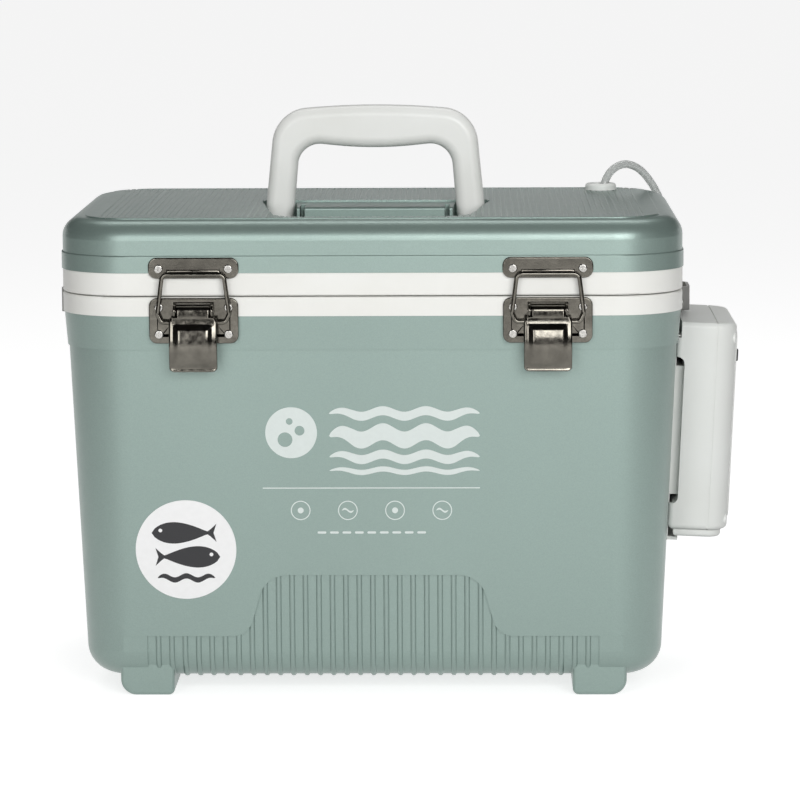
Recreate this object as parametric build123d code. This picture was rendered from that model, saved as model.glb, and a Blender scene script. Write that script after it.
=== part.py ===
from build123d import *
import math
import os

# Aerated bait bucket: a hard-sided insulated live-bait box with a hinged lid, a folding
# carry handle, two draw latches, and an air pump on its right wall.
# X runs along the width, +Y to the back, +Z up. Sizes are millimetres, angles degrees.
# The model is built about the middle of the tub and moved to the middle of its outline.

# ---- clearances
fit_gap = 0.1          # between parts moulded to nest in each other
soft_gap = 0.3         # between faces that meet when something closes
bore_gap = 0.05        # radial, pin in bore

# ---- heights, from the ground up
foot_height = 10.0
ledge_low_z = 35.4
ledge_high_z = 71.2
band_z = 221.1         # underside of the white band, the top of the outer shell
rim_height = 19.5
tub_band_height = 10.9
lid_seam = 0.6
lid_band_height = 13.0
lid_skirt_height = 9.8
lid_crown_height = 19.4
panel_rise = 0.8

# ---- tub plan, given at the level of the white band
tub_half_x = 175.2
tub_half_y = 116.2
tub_corner = 38.0
tub_draft = 2.6
tub_base_round = 17.0
shell_wall = 3.0
foam_wall = 9.0
liner_wall = 2.5
rim_flare = 1.6
rim_step = 0.8
band_overhang = 2.2

# ---- lid plan
lid_overhang = 2.8
lid_waist_inset = 0.7
lid_edge_round = 11.0
lid_wall = 3.2
lid_deck_wall = 2.8
lid_floor = 4.5
panel_margin = 14.0
flute_pitch = 3.5
flute_depth = 0.45
flute_half_width = 0.9

# ---- ribbed lower front
ledge_set_back = 0.6
groove_set_back = 1.7
ledge_upper_half = 61.2
ledge_lower_half = 71.5
ledge_upper_round = 16.0
ledge_lower_round = 12.0
groove_half = 129.5
rib_count = 33
rib_pitch = 7.7
rib_radius = 1.7
rib_sink = 0.6
rib_run_under = 6.0

# ---- feet
foot_x = 130.0
foot_width = 31.0
foot_front_y = 103.0
foot_length = 46.0
foot_outer_round = 9.0
foot_inner_round = 3.5
foot_edge_round = 2.0

# ---- lid plug and gasket
plug_gap = 3.0
plug_depth = 6.0
plug_wall = 3.0
gasket_inset = 8.0
gasket_width = 6.0
gasket_height = 2.8

# ---- handle and its recess
handle_pivot_depth = 8.5
handle_rise = 57.3
handle_base_half = 65.2
handle_shoulder_half = 58.6
handle_crown = 4.6
handle_grip = 23.5
handle_leg = 15.7
handle_shoulder_round = 22.0
handle_inner_round = 13.0
handle_crown_round = 450.0
handle_depth = 17.0
handle_edge_round = 6.0
handle_pin_radius = 3.0
handle_pin_length = 14.0
handle_fold = 90.0
recess_gap = 1.3
recess_back_y = 15.0
recess_front_y = 99.0
recess_front_round = 22.0
recess_back_round = 5.0
recess_taper = 11.5
recess_floor_gap = 0.8
island_back_half = 47.6
island_front_half = 45.6
island_drop = 1.2
island_front_y = 22.0
island_slot_half = 41.0
island_slot_width = 3.0
island_slot_depth = 20.0

# ---- draw latches
latch_x = 99.7
plate_gauge = 1.5
strike_width = 51.0
strike_height = 11.8
strike_rise = 10.4           # from the seam up to the plate
strike_round = 4.8
strike_lip_half = 15.0
strike_lip_reach = 1.3
strike_lip_height = 5.0
catch_width = 50.4
catch_height = 25.8
catch_drop = 0.6             # from the seam down to the plate
catch_round = 4.5
latch_screw_spread = 19.6
strike_screw_rise = 5.5
catch_screw_margin = 5.3
ear_half = 9.9
ear_gauge = 1.3
ear_radius = 3.8
lever_pin_drop = 7.6         # from the seam down to the lever's pin
lever_pin_reach = 4.6
lever_pin_radius = 1.25
lever_width = 27.1
lever_head_half = 9.5
lever_roll_radius = 3.0
lever_head_length = 4.2      # from the pin down to the lever's full width
lever_flat_length = 3.1
lever_length = 33.8
lever_bulge = 5.0
lever_gauge = 1.2
lever_back_gap = 1.2
lever_edge_round = 1.6
bail_pivot_drop = 6.4        # from the lever's pin down to the bail's pivot
bail_wire_radius = 1.25
bail_overlap = 2.5           # the bail's bar above the strike's lower edge
bail_top_half = 17.4
bail_wide_half = 20.2
bail_wide_rise = 4.8
bail_end_half = 12.0
bail_round = 3.6
screw_radius = 1.5
screw_head_radius = 2.45
screw_head_height = 1.2
screw_length = 5.0

# ---- lid hinges at the back
hinge_x = 99.7
hinge_width = 50.0
hinge_leaf_height = 21.0
hinge_knuckles = 5
hinge_knuckle_radius = 3.0
hinge_pin_radius = 1.5
hinge_knuckle_gap = 0.2
hinge_screw_spread = 18.0
hinge_screw_drop = 14.0

# ---- strap loops on the side walls
strap_y = -8.0
strap_drop = 7.9              # from the white band down to the loop
strap_height = 14.0
strap_gauge = 1.8
strap_reach = 5.6
strap_half = 30.0
strap_foot = 12.0
strap_ramp = 7.0
strap_bend = 2.2

# ---- air pump, in its own frame: out from the wall, along Y, up the wall
pump_y = -8.0
pump_drop = 73.1              # from the white band down to the pump's middle
pump_half_y = 50.0
pump_low = -59.0
pump_high = 62.5
pump_back = 1.5
pump_rim_gap = 4.0
pump_relief = 6.5
pump_relief_low = -44.0
pump_relief_high = 42.0
pump_relief_round = 4.0
pump_seam = 24.0
pump_front = 36.5
pump_wall = 2.2
pump_corner = 13.0
pump_inner_corner = 3.0
pump_cover_inset = 0.5
pump_panel_rise = 0.8
pump_panel_margin = 6.0
cap_height = 4.6
cap_inset = 3.5
cap_travel = 25.0
bracket_gauge = 2.0
bracket_half_y = 44.0
bracket_low = -67.0
bracket_high = 48.0
bracket_lip = 8.0
bracket_pad_half_y = 42.0
bracket_pad_low = -39.5
bracket_pad_high = 36.0
bracket_screw_y = 16.0
motor_y = -22.0
motor_radius = 10.0
motor_length = 26.0
motor_low = -5.0
pump_core = 24.0
crank_throw = 1.0
crank_disc_radius = 4.5
crank_disc_height = 3.0
crank_pin_radius = 1.0
crank_pin_height = 4.0
rocker_post_y = -4.0
rocker_post_radius = 1.5
rocker_height = 2.4
rocker_swing = 3.0
diaphragm_y = 9.0
diaphragm_radius = 8.0
diaphragm_height = 4.0
chamber_low = 19.0
chamber_high = 41.0
chamber_half_y = 13.0
chamber_depth = 8.0
nipple_radius = 1.6
nipple_bore = 0.9
nipple_collar_length = 1.5
cell_radius = 7.1
cell_length = 49.5
cell_y = 12.0
cell_pitch = 16.0
contact_gauge = 0.6
switch_y = -22.0
switch_w = 38.0
switch_travel = 8.0
switch_knob = 7.0
switch_knob_width = 4.5
switch_knob_rise = 1.8

# ---- hoses, grommet and air stone
hose_radius = 2.4
grommet_x = 136.0
grommet_y = 87.0
grommet_flange_radius = 9.5
grommet_flange = 4.0
grommet_sleeve_radius = 6.5
grommet_mouth = 3.8
grommet_mouth_depth = 14.5
stone_x = 55.0
stone_y = 40.0
stone_radius = 10.0
stone_length = 44.0

hose_join_z = 257.6
nipple_socket = 7.5

# Routes of the two hoses, given about the middle of the tub: one from the lid's grommet
# over the lid's corner to the pump, one down inside the tank to the air stone.
air_hose_arch = [
    (grommet_x, grommet_y, hose_join_z), (grommet_x, grommet_y, 270.6), (139.3, 89.9, 283.1),
    (145.6, 94.9, 289.3), (153.4, 101, 290.6), (162.7, 108, 285.5), (172.6, 116, 271),
    (178, 121.5, 254), (181.5, 124.8, 236), (184.5, 121.5, 219), (187.2, 112, 205),
    (189.6, 98, 194), (191.6, 82, 184.5),
]
air_hose_last_run = 15.0
tank_hose_drop = [
    (grommet_x, grommet_y, hose_join_z), (grommet_x, grommet_y, 217.6), (133, 82.6, 175),
    (129.5, 74.5, 138), (124.5, 66, 105), (117.5, 57.8, 72), (110, 49.5, 53.5), (102, 43.5, 42.5),
]
tank_hose_last_run = 12.0

# ---------------------------------------------------------------- worked out once
slope = math.tan(math.radians(tub_draft))
rim_z = band_z - rim_height
tub_top_z = band_z + tub_band_height
lid_base_z = tub_top_z + lid_seam
lid_skirt_z = lid_base_z + lid_band_height
lid_waist_z = lid_skirt_z + lid_skirt_height
lid_deck_z = lid_waist_z + lid_crown_height
panel_z = lid_deck_z + panel_rise
seam_z = tub_top_z + lid_seam / 2
band_half_x = tub_half_x + band_overhang
band_half_y = tub_half_y + band_overhang
band_corner = tub_corner + band_overhang
lid_half_x = tub_half_x + lid_overhang
lid_half_y = tub_half_y + lid_overhang
lid_corner = tub_corner + lid_overhang
mount_face_y = lid_half_y
plate_face_y = mount_face_y + plate_gauge
shell_floor_z = foot_height
foam_floor_z = shell_floor_z + shell_wall
liner_under_z = foam_floor_z + foam_wall
liner_floor_z = liner_under_z + liner_wall
handle_pivot_z = panel_z - handle_pivot_depth
handle_top_z = panel_z + handle_rise
strike_low_z = seam_z + strike_rise
strike_high_z = strike_low_z + strike_height
strike_lip_high_z = strike_low_z + strike_lip_height
strike_screw_z = strike_low_z + strike_screw_rise
catch_high_z = seam_z - catch_drop
catch_low_z = catch_high_z - catch_height
catch_screw_low_z = catch_low_z + catch_screw_margin
catch_screw_high_z = catch_high_z - catch_screw_margin
lever_pin_z = seam_z - lever_pin_drop
lever_wide_top_z = lever_pin_z - lever_head_length
lever_break_z = lever_wide_top_z - lever_flat_length
lever_low_z = lever_pin_z - lever_length
ear_root_high_z = lever_pin_z + ear_radius
bail_pivot_z = lever_pin_z - bail_pivot_drop
bail_wide_z = bail_pivot_z + bail_wide_rise
bail_bar_z = strike_low_z + bail_overlap
lever_pin_y = -(plate_face_y + lever_pin_reach)
bail_y = -(plate_face_y + strike_lip_reach + soft_gap + bail_wire_radius)
hinge_y = mount_face_y + hinge_knuckle_radius + 2 * fit_gap
hinge_z = seam_z
strap_low_z = band_z - strap_drop
strap_wall_x = band_half_x + 2 * fit_gap
pump_z = band_z - pump_drop
liner_half_x = tub_half_x - shell_wall - foam_wall - 2 * fit_gap
liner_half_y = tub_half_y - shell_wall - foam_wall - 2 * fit_gap
liner_corner = tub_corner - shell_wall - foam_wall - 2 * fit_gap
tank_half_x = liner_half_x - liner_wall
tank_half_y = liner_half_y - liner_wall
tank_corner = liner_corner - liner_wall
recess_floor_z = handle_pivot_z - handle_depth / 2 - recess_floor_gap
pump_reach_x = tub_half_x - (band_z - pump_z - pump_high) * slope + pump_front + pump_panel_rise
left_reach_x = strap_wall_x + strap_reach + strap_gauge
front_reach_y = plate_face_y + lever_pin_reach + lever_roll_radius + lever_bulge
back_reach_y = hinge_y + hinge_knuckle_radius
outline_middle = Vector((pump_reach_x - left_reach_x) / 2, (back_reach_y - front_reach_y) / 2, 0)


# ---------------------------------------------------------------- small makers
def plan_block(half_x, half_y, corner, z_low, z_high, draft=0.0):
    """Rounded block, given at its top level; its sides draw in by draft going down."""
    plan = Plane.XY.offset(z_high) * RectangleRounded(2 * half_x, 2 * half_y, corner)
    return extrude(plan, amount=z_low - z_high, taper=draft)


def drafted_block(inset, z_low, z_high, base_round):
    """The tub's drafted form, drawn in by inset all round, from z_low up to z_high."""
    rise = (z_high - band_z) * slope
    form = plan_block(
        tub_half_x - inset + rise,
        tub_half_y - inset + rise,
        tub_corner - inset + rise,
        z_low,
        z_high,
        tub_draft,
    )
    if base_round:
        form = fillet(form.edges().group_by(Axis.Z)[0], base_round)
    return form


def span_box(x_span, y_span, z_span):
    """Box between two limits on each axis."""
    return Pos(x_span[0], y_span[0], z_span[0]) * Box(
        x_span[1] - x_span[0], y_span[1] - y_span[0], z_span[1] - z_span[0], align=Align.MIN
    )


def rod(start, direction, radius, length):
    """Round bar from start along direction."""
    return Plane(origin=start, z_dir=direction) * Cylinder(
        radius, length, align=(Align.CENTER, Align.CENTER, Align.MIN)
    )


def screw(seat, out, length=screw_length):
    """Pan-head screw: the head stands on its seat, the shank goes in behind it."""
    seat_plane = Plane(origin=seat, z_dir=out)
    on_seat = (Align.CENTER, Align.CENTER, Align.MIN)
    head = Cylinder(screw_head_radius, screw_head_height, align=on_seat)
    head = fillet(head.edges().sort_by(Axis.Z)[-1], screw_head_height * 0.6)
    blade = Box(screw_head_radius * 1.2, 0.6, screw_head_height, align=on_seat)
    cross = Pos(0, 0, screw_head_height * 0.45) * (blade + Rot(0, 0, 90) * blade)
    shank = Pos(0, 0, -length) * Cylinder(screw_radius, length, align=on_seat)
    return seat_plane * (head - cross + shank)


def screw_hole(seat, out, length=screw_length):
    """The hole that a screw's shank sits in."""
    depth = length + fit_gap
    start = Vector(*seat) - Vector(*out).normalized() * depth
    return rod(start, out, screw_radius + bore_gap, depth + plate_gauge)


def route_radii(route):
    """Bend radius at each inner point of a hose's route."""
    points = [Vector(*point) for point in route]
    radii = []
    for before, here, after in zip(points, points[1:], points[2:]):
        run_in = here - before
        run_out = after - here
        turn = math.radians(run_in.get_angle(run_out))
        radii.append(0.45 * min(run_in.length, run_out.length) / math.tan(turn / 2))
    return radii


def hose(name, route):
    """Hose of straight runs joined by tangent arcs."""
    radii = route_radii(route)
    path = FilletPolyline(*route, radius=radii)
    tube = sweep(Plane(origin=path @ 0, z_dir=path % 0) * Circle(hose_radius), path=path)
    wanted = math.pi * hose_radius ** 2 * path.length
    print(name, "length", round(path.length, 1), "radii", [round(r, 1) for r in radii])
    print(name, "volume over section x length", round(tube.volume / wanted, 5))
    return tube


def mirrored(shape):
    """The same shape on the other side of the tub's middle plane."""
    return mirror(shape, about=Plane.YZ)


def both_sides(shape):
    """The shape and its mirror image, as separate solids."""
    return Compound([*shape.solids(), *mirrored(shape).solids()])


def group(shapes):
    """Several like pieces kept as separate solids of one node."""
    solids = []
    for shape in shapes:
        solids.extend(shape.solids())
    return Compound(solids)


nodes = {}


# ---------------------------------------------------------------- tub
def wall_y(z, set_back):
    """Y of the front wall at a level, set back from its outer face."""
    return -(tub_half_y - (band_z - z) * slope - set_back)


def front_profile(set_back):
    """Everything in front of the lower front wall set back, as a bar along X."""
    top_z = ledge_high_z + tub_base_round
    wall = FilletPolyline(
        (wall_y(top_z, set_back), top_z),
        (wall_y(shell_floor_z, set_back), shell_floor_z),
        (0, shell_floor_z),
        radius=tub_base_round,
    )
    outside = Polyline(
        (0, shell_floor_z),
        (0, 0),
        (-2 * lid_half_y, 0),
        (-2 * lid_half_y, top_z),
        (wall_y(top_z, set_back), top_z),
    )
    return extrude(Plane.YZ * make_face(wall + outside), amount=lid_half_x, both=True)


def ledge_bar():
    """What lies below the stepped ledge line of the front, as a bar along Y."""
    lower = [(-lid_half_x, ledge_low_z), (-ledge_lower_half, ledge_low_z)]
    upper = [(-ledge_upper_half, ledge_high_z), (ledge_upper_half, ledge_high_z)]
    right = [(ledge_lower_half, ledge_low_z), (lid_half_x, ledge_low_z)]
    radii = [ledge_lower_round, ledge_upper_round, ledge_upper_round, ledge_lower_round]
    line = FilletPolyline(*lower, *upper, *right, radius=radii)
    below = Polyline(right[-1], (lid_half_x, 0), (-lid_half_x, 0), lower[0])
    return extrude(Plane.XZ * make_face(line + below), amount=2 * lid_half_y)


def front_ribs():
    """Half-round ribs down the front, turning under the base edge."""
    depth = groove_set_back + rib_sink
    low_z = shell_floor_z + rib_sink
    path = Plane.YZ * FilletPolyline(
        (wall_y(ledge_high_z, depth), ledge_high_z),
        (wall_y(low_z, depth), low_z),
        (wall_y(low_z, depth) + tub_base_round + rib_run_under, low_z),
        radius=tub_base_round - rib_sink,
    )
    rib = sweep(Plane(origin=path @ 0, z_dir=path % 0) * Circle(rib_radius), path=path)
    start = -(rib_count - 1) / 2 * rib_pitch
    return [Pos(start + i * rib_pitch, 0, 0) * rib for i in range(rib_count)]


def feet():
    """Four feet, with a large round on their outer lower corner."""
    inner_x = foot_x - foot_width / 2
    outer_x = foot_x + foot_width / 2
    top_z = foot_height + foot_outer_round
    side = make_face(Polyline((inner_x, top_z), (inner_x, 0), (outer_x, 0), (outer_x, top_z), close=True))
    corners = side.vertices().group_by(Axis.Y)[0].sort_by(Axis.X)
    side = fillet(corners[0], foot_inner_round)
    corners = side.vertices().group_by(Axis.Y)[0].sort_by(Axis.X)
    side = fillet(corners[-1], foot_outer_round)
    foot = Pos(0, -foot_front_y + foot_length, 0) * extrude(Plane.XZ * side, amount=foot_length)
    foot = fillet(foot.edges().filter_by(Plane.XZ).filter_by(lambda e: e.center().Z < foot_edge_round), foot_edge_round)
    front = [foot, mirrored(foot)]
    return front + [mirror(one, about=Plane.XZ) for one in front]


def rim():
    """The flared rim that carries the white band, with flats for latches, hinges and loops."""
    flare = math.degrees(math.atan(rim_flare / (band_z - rim_z)))
    low_half = tub_half_x - (band_z - rim_z) * slope + rim_step
    grow = low_half + rim_flare - tub_half_x
    ring = plan_block(
        tub_half_x + grow, tub_half_y + grow, tub_corner + grow, rim_z, band_z, flare
    )
    inner_y = tub_half_y - shell_wall
    plate_edge = fit_gap * 5
    latch_flat = span_box(
        (latch_x - catch_width / 2 + plate_edge, latch_x + catch_width / 2 - plate_edge),
        (-mount_face_y, -inner_y),
        (catch_low_z + plate_edge, band_z),
    )
    hinge_flat = span_box(
        (hinge_x - hinge_width / 2, hinge_x + hinge_width / 2),
        (inner_y, mount_face_y),
        (hinge_z - hinge_leaf_height, band_z),
    )
    strap_flat = span_box(
        (tub_half_x - shell_wall, strap_wall_x),
        (strap_y - strap_half, strap_y + strap_half),
        (strap_low_z, band_z),
    )
    flats = []
    for flat in (latch_flat, hinge_flat, strap_flat):
        flats.extend([flat, mirrored(flat)])
    return ring, flats


def latch_screw_seats(side, row_z):
    """Seats of a latch plate's screws in one row."""
    return [
        (side * latch_x - latch_screw_spread, -plate_face_y, row_z),
        (side * latch_x + latch_screw_spread, -plate_face_y, row_z),
    ]


def hinge_screw_seats(level):
    """Seats of the screws of both leaves at one level."""
    return [
        (side * hinge_x + step * hinge_screw_spread, plate_face_y, level)
        for side in (-1, 1)
        for step in (-1, 0, 1)
    ]


def strap_screw_seats(side):
    """Seats of a strap loop's two screws, and the way they face."""
    x = side * (strap_wall_x + strap_gauge)
    z = strap_low_z + strap_height / 2 - 1.0
    reach = strap_half - strap_foot / 2
    return [(x, strap_y - reach, z), (x, strap_y + reach, z)]


front_out = (0, -1, 0)
back_out = (0, 1, 0)
catch_seats = [
    seat
    for side in (-1, 1)
    for row_z in (catch_screw_low_z, catch_screw_high_z)
    for seat in latch_screw_seats(side, row_z)
]
strike_seats = [seat for side in (-1, 1) for seat in latch_screw_seats(side, strike_screw_z)]
tub_hinge_seats = hinge_screw_seats(hinge_z - hinge_screw_drop)
lid_hinge_seats = hinge_screw_seats(hinge_z + hinge_screw_drop + 2)

tub_screw_holes = [screw_hole(seat, front_out) for seat in catch_seats]
tub_screw_holes += [screw_hole(seat, back_out) for seat in tub_hinge_seats]
for side in (-1, 1):
    tub_screw_holes += [screw_hole(seat, (side, 0, 0)) for seat in strap_screw_seats(side)]

# The pump's frame: X out of the wall, Z up the leaning wall.
pump_wall_x = tub_half_x - (band_z - pump_z) * slope
pump_place = Pos(pump_wall_x, pump_y, pump_z) * Rot(0, tub_draft, 0)
bracket_screw_rows = (
    (bracket_low + pump_relief_low) / 2 + 3,
    (bracket_pad_high + bracket_high) / 2,
)
bracket_seats = [
    (bracket_gauge, side * bracket_screw_y, row) for side in (-1, 1) for row in bracket_screw_rows
]
bracket_screw_length = bracket_gauge + shell_wall - 2 * fit_gap

outer_shell = drafted_block(0, shell_floor_z, rim_z, tub_base_round)
rim_ring, rim_flats = rim()
outer_shell = outer_shell + [rim_ring, *rim_flats]
below_ledge = ledge_bar()
grooved_field = span_box((-groove_half, groove_half), (-2 * lid_half_y, 0), (0, 2 * ledge_high_z))
outer_shell = outer_shell - (front_profile(ledge_set_back) & below_ledge)
outer_shell = outer_shell - (front_profile(groove_set_back) & below_ledge & grooved_field)
outer_shell = outer_shell + [*front_ribs(), *feet()]
outer_shell = outer_shell - drafted_block(
    shell_wall, foam_floor_z, band_z, tub_base_round - shell_wall
)
outer_shell = outer_shell - tub_screw_holes
outer_shell = outer_shell - [
    pump_place * screw_hole(seat, (1, 0, 0), bracket_screw_length) for seat in bracket_seats
]
nodes["outer_shell"] = outer_shell

tub_foam = drafted_block(
    shell_wall + fit_gap, foam_floor_z + fit_gap, band_z - fit_gap, tub_base_round - shell_wall
)
tub_foam = tub_foam - drafted_block(
    shell_wall + foam_wall + fit_gap, liner_under_z, band_z, tub_base_round - shell_wall
)
tub_foam = tub_foam - tub_screw_holes
nodes["tub_foam"] = tub_foam

liner = drafted_block(
    shell_wall + foam_wall + 2 * fit_gap,
    liner_under_z + fit_gap,
    band_z,
    tub_base_round - shell_wall,
)
liner = liner + plan_block(band_half_x, band_half_y, band_corner, band_z, tub_top_z)
liner = fillet(liner.edges().group_by(Axis.Z)[-1], 1.2)
liner = liner - drafted_block(
    shell_wall + foam_wall + liner_wall + 2 * fit_gap,
    liner_floor_z,
    tub_top_z,
    tub_base_round - shell_wall,
)
liner = liner - tub_screw_holes
nodes["tank_liner"] = liner


# ---------------------------------------------------------------- lid
def handle_half(z):
    """Half-width of the handle's legs at a level."""
    along = (z - handle_pivot_z) / (handle_top_z - handle_pivot_z)
    return handle_base_half + (handle_shoulder_half - handle_base_half) * along


def recess_plan(grow):
    """Plan of the handle's recess in the lid, grown outwards."""
    back = handle_base_half + recess_gap + recess_back_y * recess_taper / recess_front_y + grow
    front = handle_base_half + recess_gap - recess_taper + grow
    plan = make_face(
        Polyline(
            (-back, recess_back_y + grow),
            (back, recess_back_y + grow),
            (front, -recess_front_y - grow),
            (-front, -recess_front_y - grow),
            close=True,
        )
    )
    plan = fillet(plan.vertices().group_by(Axis.Y)[0], recess_front_round + grow)
    return fillet(plan.vertices().group_by(Axis.Y)[-1], recess_back_round + grow)


def island():
    """The block that stands between the handle's legs, with a slot each side of its front."""
    top_z = panel_z - island_drop
    low_z = recess_floor_z - lid_deck_wall / 2
    back_y = recess_back_y + lid_deck_wall / 2
    plan = make_face(
        Polyline(
            (-island_back_half, back_y),
            (island_back_half, back_y),
            (island_front_half, -island_front_y),
            (-island_front_half, -island_front_y),
            close=True,
        )
    )
    block = extrude(Plane.XY.offset(low_z) * plan, amount=top_z - low_z)
    block = fillet(block.edges().group_by(Axis.Z)[-1].sort_by(Axis.Y)[0], 1.5)
    slot = span_box(
        (island_slot_half, island_slot_half + island_slot_width),
        (-island_front_y - fit_gap, -island_front_y + island_slot_depth),
        (recess_floor_z + lid_deck_wall, top_z + fit_gap),
    )
    return block - [slot, mirrored(slot)]


def flutes():
    """Fine V grooves that run front to back over the lid's raised panel."""
    half = lid_half_x - panel_margin - flute_pitch * 2
    count = 2 * int(half / flute_pitch) + 1
    start = -(count - 1) / 2 * flute_pitch
    reach = lid_half_y - panel_margin - flute_pitch
    vee = make_face(
        Polyline(
            (-flute_half_width, panel_z + fit_gap),
            (flute_half_width, panel_z + fit_gap),
            (0, panel_z - flute_depth),
            close=True,
        )
    )
    one = Pos(0, reach, 0) * extrude(Plane.XZ * vee, amount=2 * reach)
    return [Pos(start + i * flute_pitch, 0, 0) * one for i in range(count)]


def band_ring(inset, width, z_low, z_high):
    """Ring that follows the lid's outline, inset from its edge."""
    outer = plan_block(
        lid_half_x - inset, lid_half_y - inset, lid_corner - inset, z_low, z_high
    )
    far = inset + width
    return outer - plan_block(
        lid_half_x - far, lid_half_y - far, lid_corner - far, z_low - fit_gap, z_high + fit_gap
    )


sleeve_hole = Pos(grommet_x, grommet_y, 0) * Cylinder(
    grommet_sleeve_radius + fit_gap, 2 * panel_z, align=(Align.CENTER, Align.CENTER, Align.MIN)
)
lid_screw_holes = [screw_hole(seat, front_out) for seat in strike_seats]
lid_screw_holes += [screw_hole(seat, back_out) for seat in lid_hinge_seats]

waist_x = lid_half_x - lid_waist_inset
waist_y = lid_half_y - lid_waist_inset
waist_corner = lid_corner - lid_waist_inset
lid_crown = plan_block(waist_x, waist_y, waist_corner, lid_waist_z, lid_deck_z)
lid_crown = fillet(lid_crown.edges().group_by(Axis.Z)[-1], lid_edge_round)
lid_skirt = plan_block(lid_half_x, lid_half_y, lid_corner, lid_skirt_z, lid_waist_z)
lid_skirt = fillet(lid_skirt.edges().group_by(Axis.Z)[-1], lid_waist_inset * 0.9)
panel = plan_block(
    lid_half_x - panel_margin,
    lid_half_y - panel_margin,
    lid_corner - panel_margin,
    lid_deck_z - panel_rise,
    panel_z,
)
panel = fillet(panel.edges().group_by(Axis.Z)[-1], panel_rise * 0.7)
lid_hollow = plan_block(
    waist_x - lid_wall,
    waist_y - lid_wall,
    waist_corner - lid_wall,
    lid_skirt_z,
    lid_deck_z - lid_deck_wall,
)
lid_hollow = fillet(lid_hollow.edges().group_by(Axis.Z)[-1], lid_edge_round - lid_wall)
recess_tub = extrude(
    Plane.XY.offset(recess_floor_z - lid_deck_wall) * recess_plan(lid_deck_wall),
    amount=lid_deck_z - recess_floor_z,
)
recess_cut = extrude(
    Plane.XY.offset(recess_floor_z) * recess_plan(0), amount=2 * (panel_z - recess_floor_z)
)
lid_shell = lid_skirt + [lid_crown, panel]
lid_shell = lid_shell - (lid_hollow - recess_tub)
lid_shell = lid_shell - recess_cut
lid_shell = lid_shell + island()
lid_shell = lid_shell - flutes()

handle_pin_x = handle_base_half + recess_gap + lid_deck_wall
boss_radius = handle_pin_radius + lid_deck_wall
boss_x = handle_pin_x - lid_deck_wall * 0.6
boss_length = handle_pin_length / 2 + lid_deck_wall * 0.6
pin_boss = rod((boss_x, 0, handle_pivot_z), (1, 0, 0), boss_radius, boss_length)
pin_boss = pin_boss & plan_block(waist_x, waist_y, waist_corner, lid_skirt_z, lid_deck_z - fit_gap)
pin_start_x = handle_base_half - handle_leg / 2
pin_length = handle_pin_x + handle_pin_length / 2 - pin_start_x
handle_pin_hole = rod(
    (pin_start_x, 0, handle_pivot_z),
    (1, 0, 0),
    handle_pin_radius + bore_gap,
    pin_length + fit_gap - lid_deck_wall / 2,
)
lid_shell = lid_shell + [pin_boss, mirrored(pin_boss)]
lid_shell = lid_shell - [handle_pin_hole, mirrored(handle_pin_hole)]
lid_shell = lid_shell - [sleeve_hole, *lid_screw_holes]
nodes["lid_shell"] = lid_shell

lid_tray = plan_block(band_half_x, band_half_y, band_corner, lid_base_z, lid_skirt_z)
lid_tray = fillet(lid_tray.edges().group_by(Axis.Z)[0], 1.2)
tray_floor_z = lid_base_z + lid_floor
tray_half_x = waist_x - lid_wall
tray_half_y = waist_y - lid_wall
tray_corner = waist_corner - lid_wall
lid_tray = lid_tray - plan_block(tray_half_x, tray_half_y, tray_corner, tray_floor_z, lid_skirt_z)
plug_half_x = tank_half_x - plug_gap
plug_half_y = tank_half_y - plug_gap
plug_corner = tank_corner - plug_gap
plug_low_z = lid_base_z - plug_depth
plug = plan_block(plug_half_x, plug_half_y, plug_corner, plug_low_z, lid_base_z)
plug = fillet(plug.edges().group_by(Axis.Z)[0], plug_wall)
lid_tray = lid_tray + plug
plug_pocket_z = plug_low_z + plug_wall
lid_tray = lid_tray - plan_block(
    plug_half_x - plug_wall,
    plug_half_y - plug_wall,
    plug_corner - plug_wall,
    plug_pocket_z,
    tray_floor_z,
)
gasket_low_z = tub_top_z + soft_gap
gasket_ring = band_ring(gasket_inset, gasket_width, gasket_low_z, gasket_low_z + gasket_height)
gasket_groove = band_ring(
    gasket_inset - fit_gap,
    gasket_width + 2 * fit_gap,
    lid_base_z - fit_gap,
    gasket_low_z + gasket_height + fit_gap,
)
lid_tray = lid_tray - gasket_groove
lid_tray = lid_tray - [sleeve_hole, *lid_screw_holes]
nodes["lid_liner"] = lid_tray
nodes["lid_gasket"] = gasket_ring

lid_foam = plan_block(
    tray_half_x - fit_gap,
    tray_half_y - fit_gap,
    tray_corner - fit_gap,
    tray_floor_z + fit_gap,
    lid_deck_z - lid_deck_wall - fit_gap,
)
lid_foam = fillet(lid_foam.edges().group_by(Axis.Z)[-1], lid_edge_round - lid_wall - fit_gap)
lid_foam = lid_foam + plan_block(
    plug_half_x - plug_wall - fit_gap,
    plug_half_y - plug_wall - fit_gap,
    plug_corner - plug_wall - fit_gap,
    plug_pocket_z + fit_gap,
    tray_floor_z + fit_gap,
)
lid_foam = lid_foam - extrude(
    Plane.XY.offset(recess_floor_z - lid_deck_wall - fit_gap)
    * recess_plan(lid_deck_wall + fit_gap),
    amount=2 * lid_edge_round,
)
boss_hole = rod(
    (boss_x, 0, handle_pivot_z), (1, 0, 0), boss_radius + fit_gap, boss_length + fit_gap
)
lid_foam = lid_foam - [boss_hole, mirrored(boss_hole), sleeve_hole, *lid_screw_holes]
nodes["lid_foam"] = lid_foam


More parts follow.
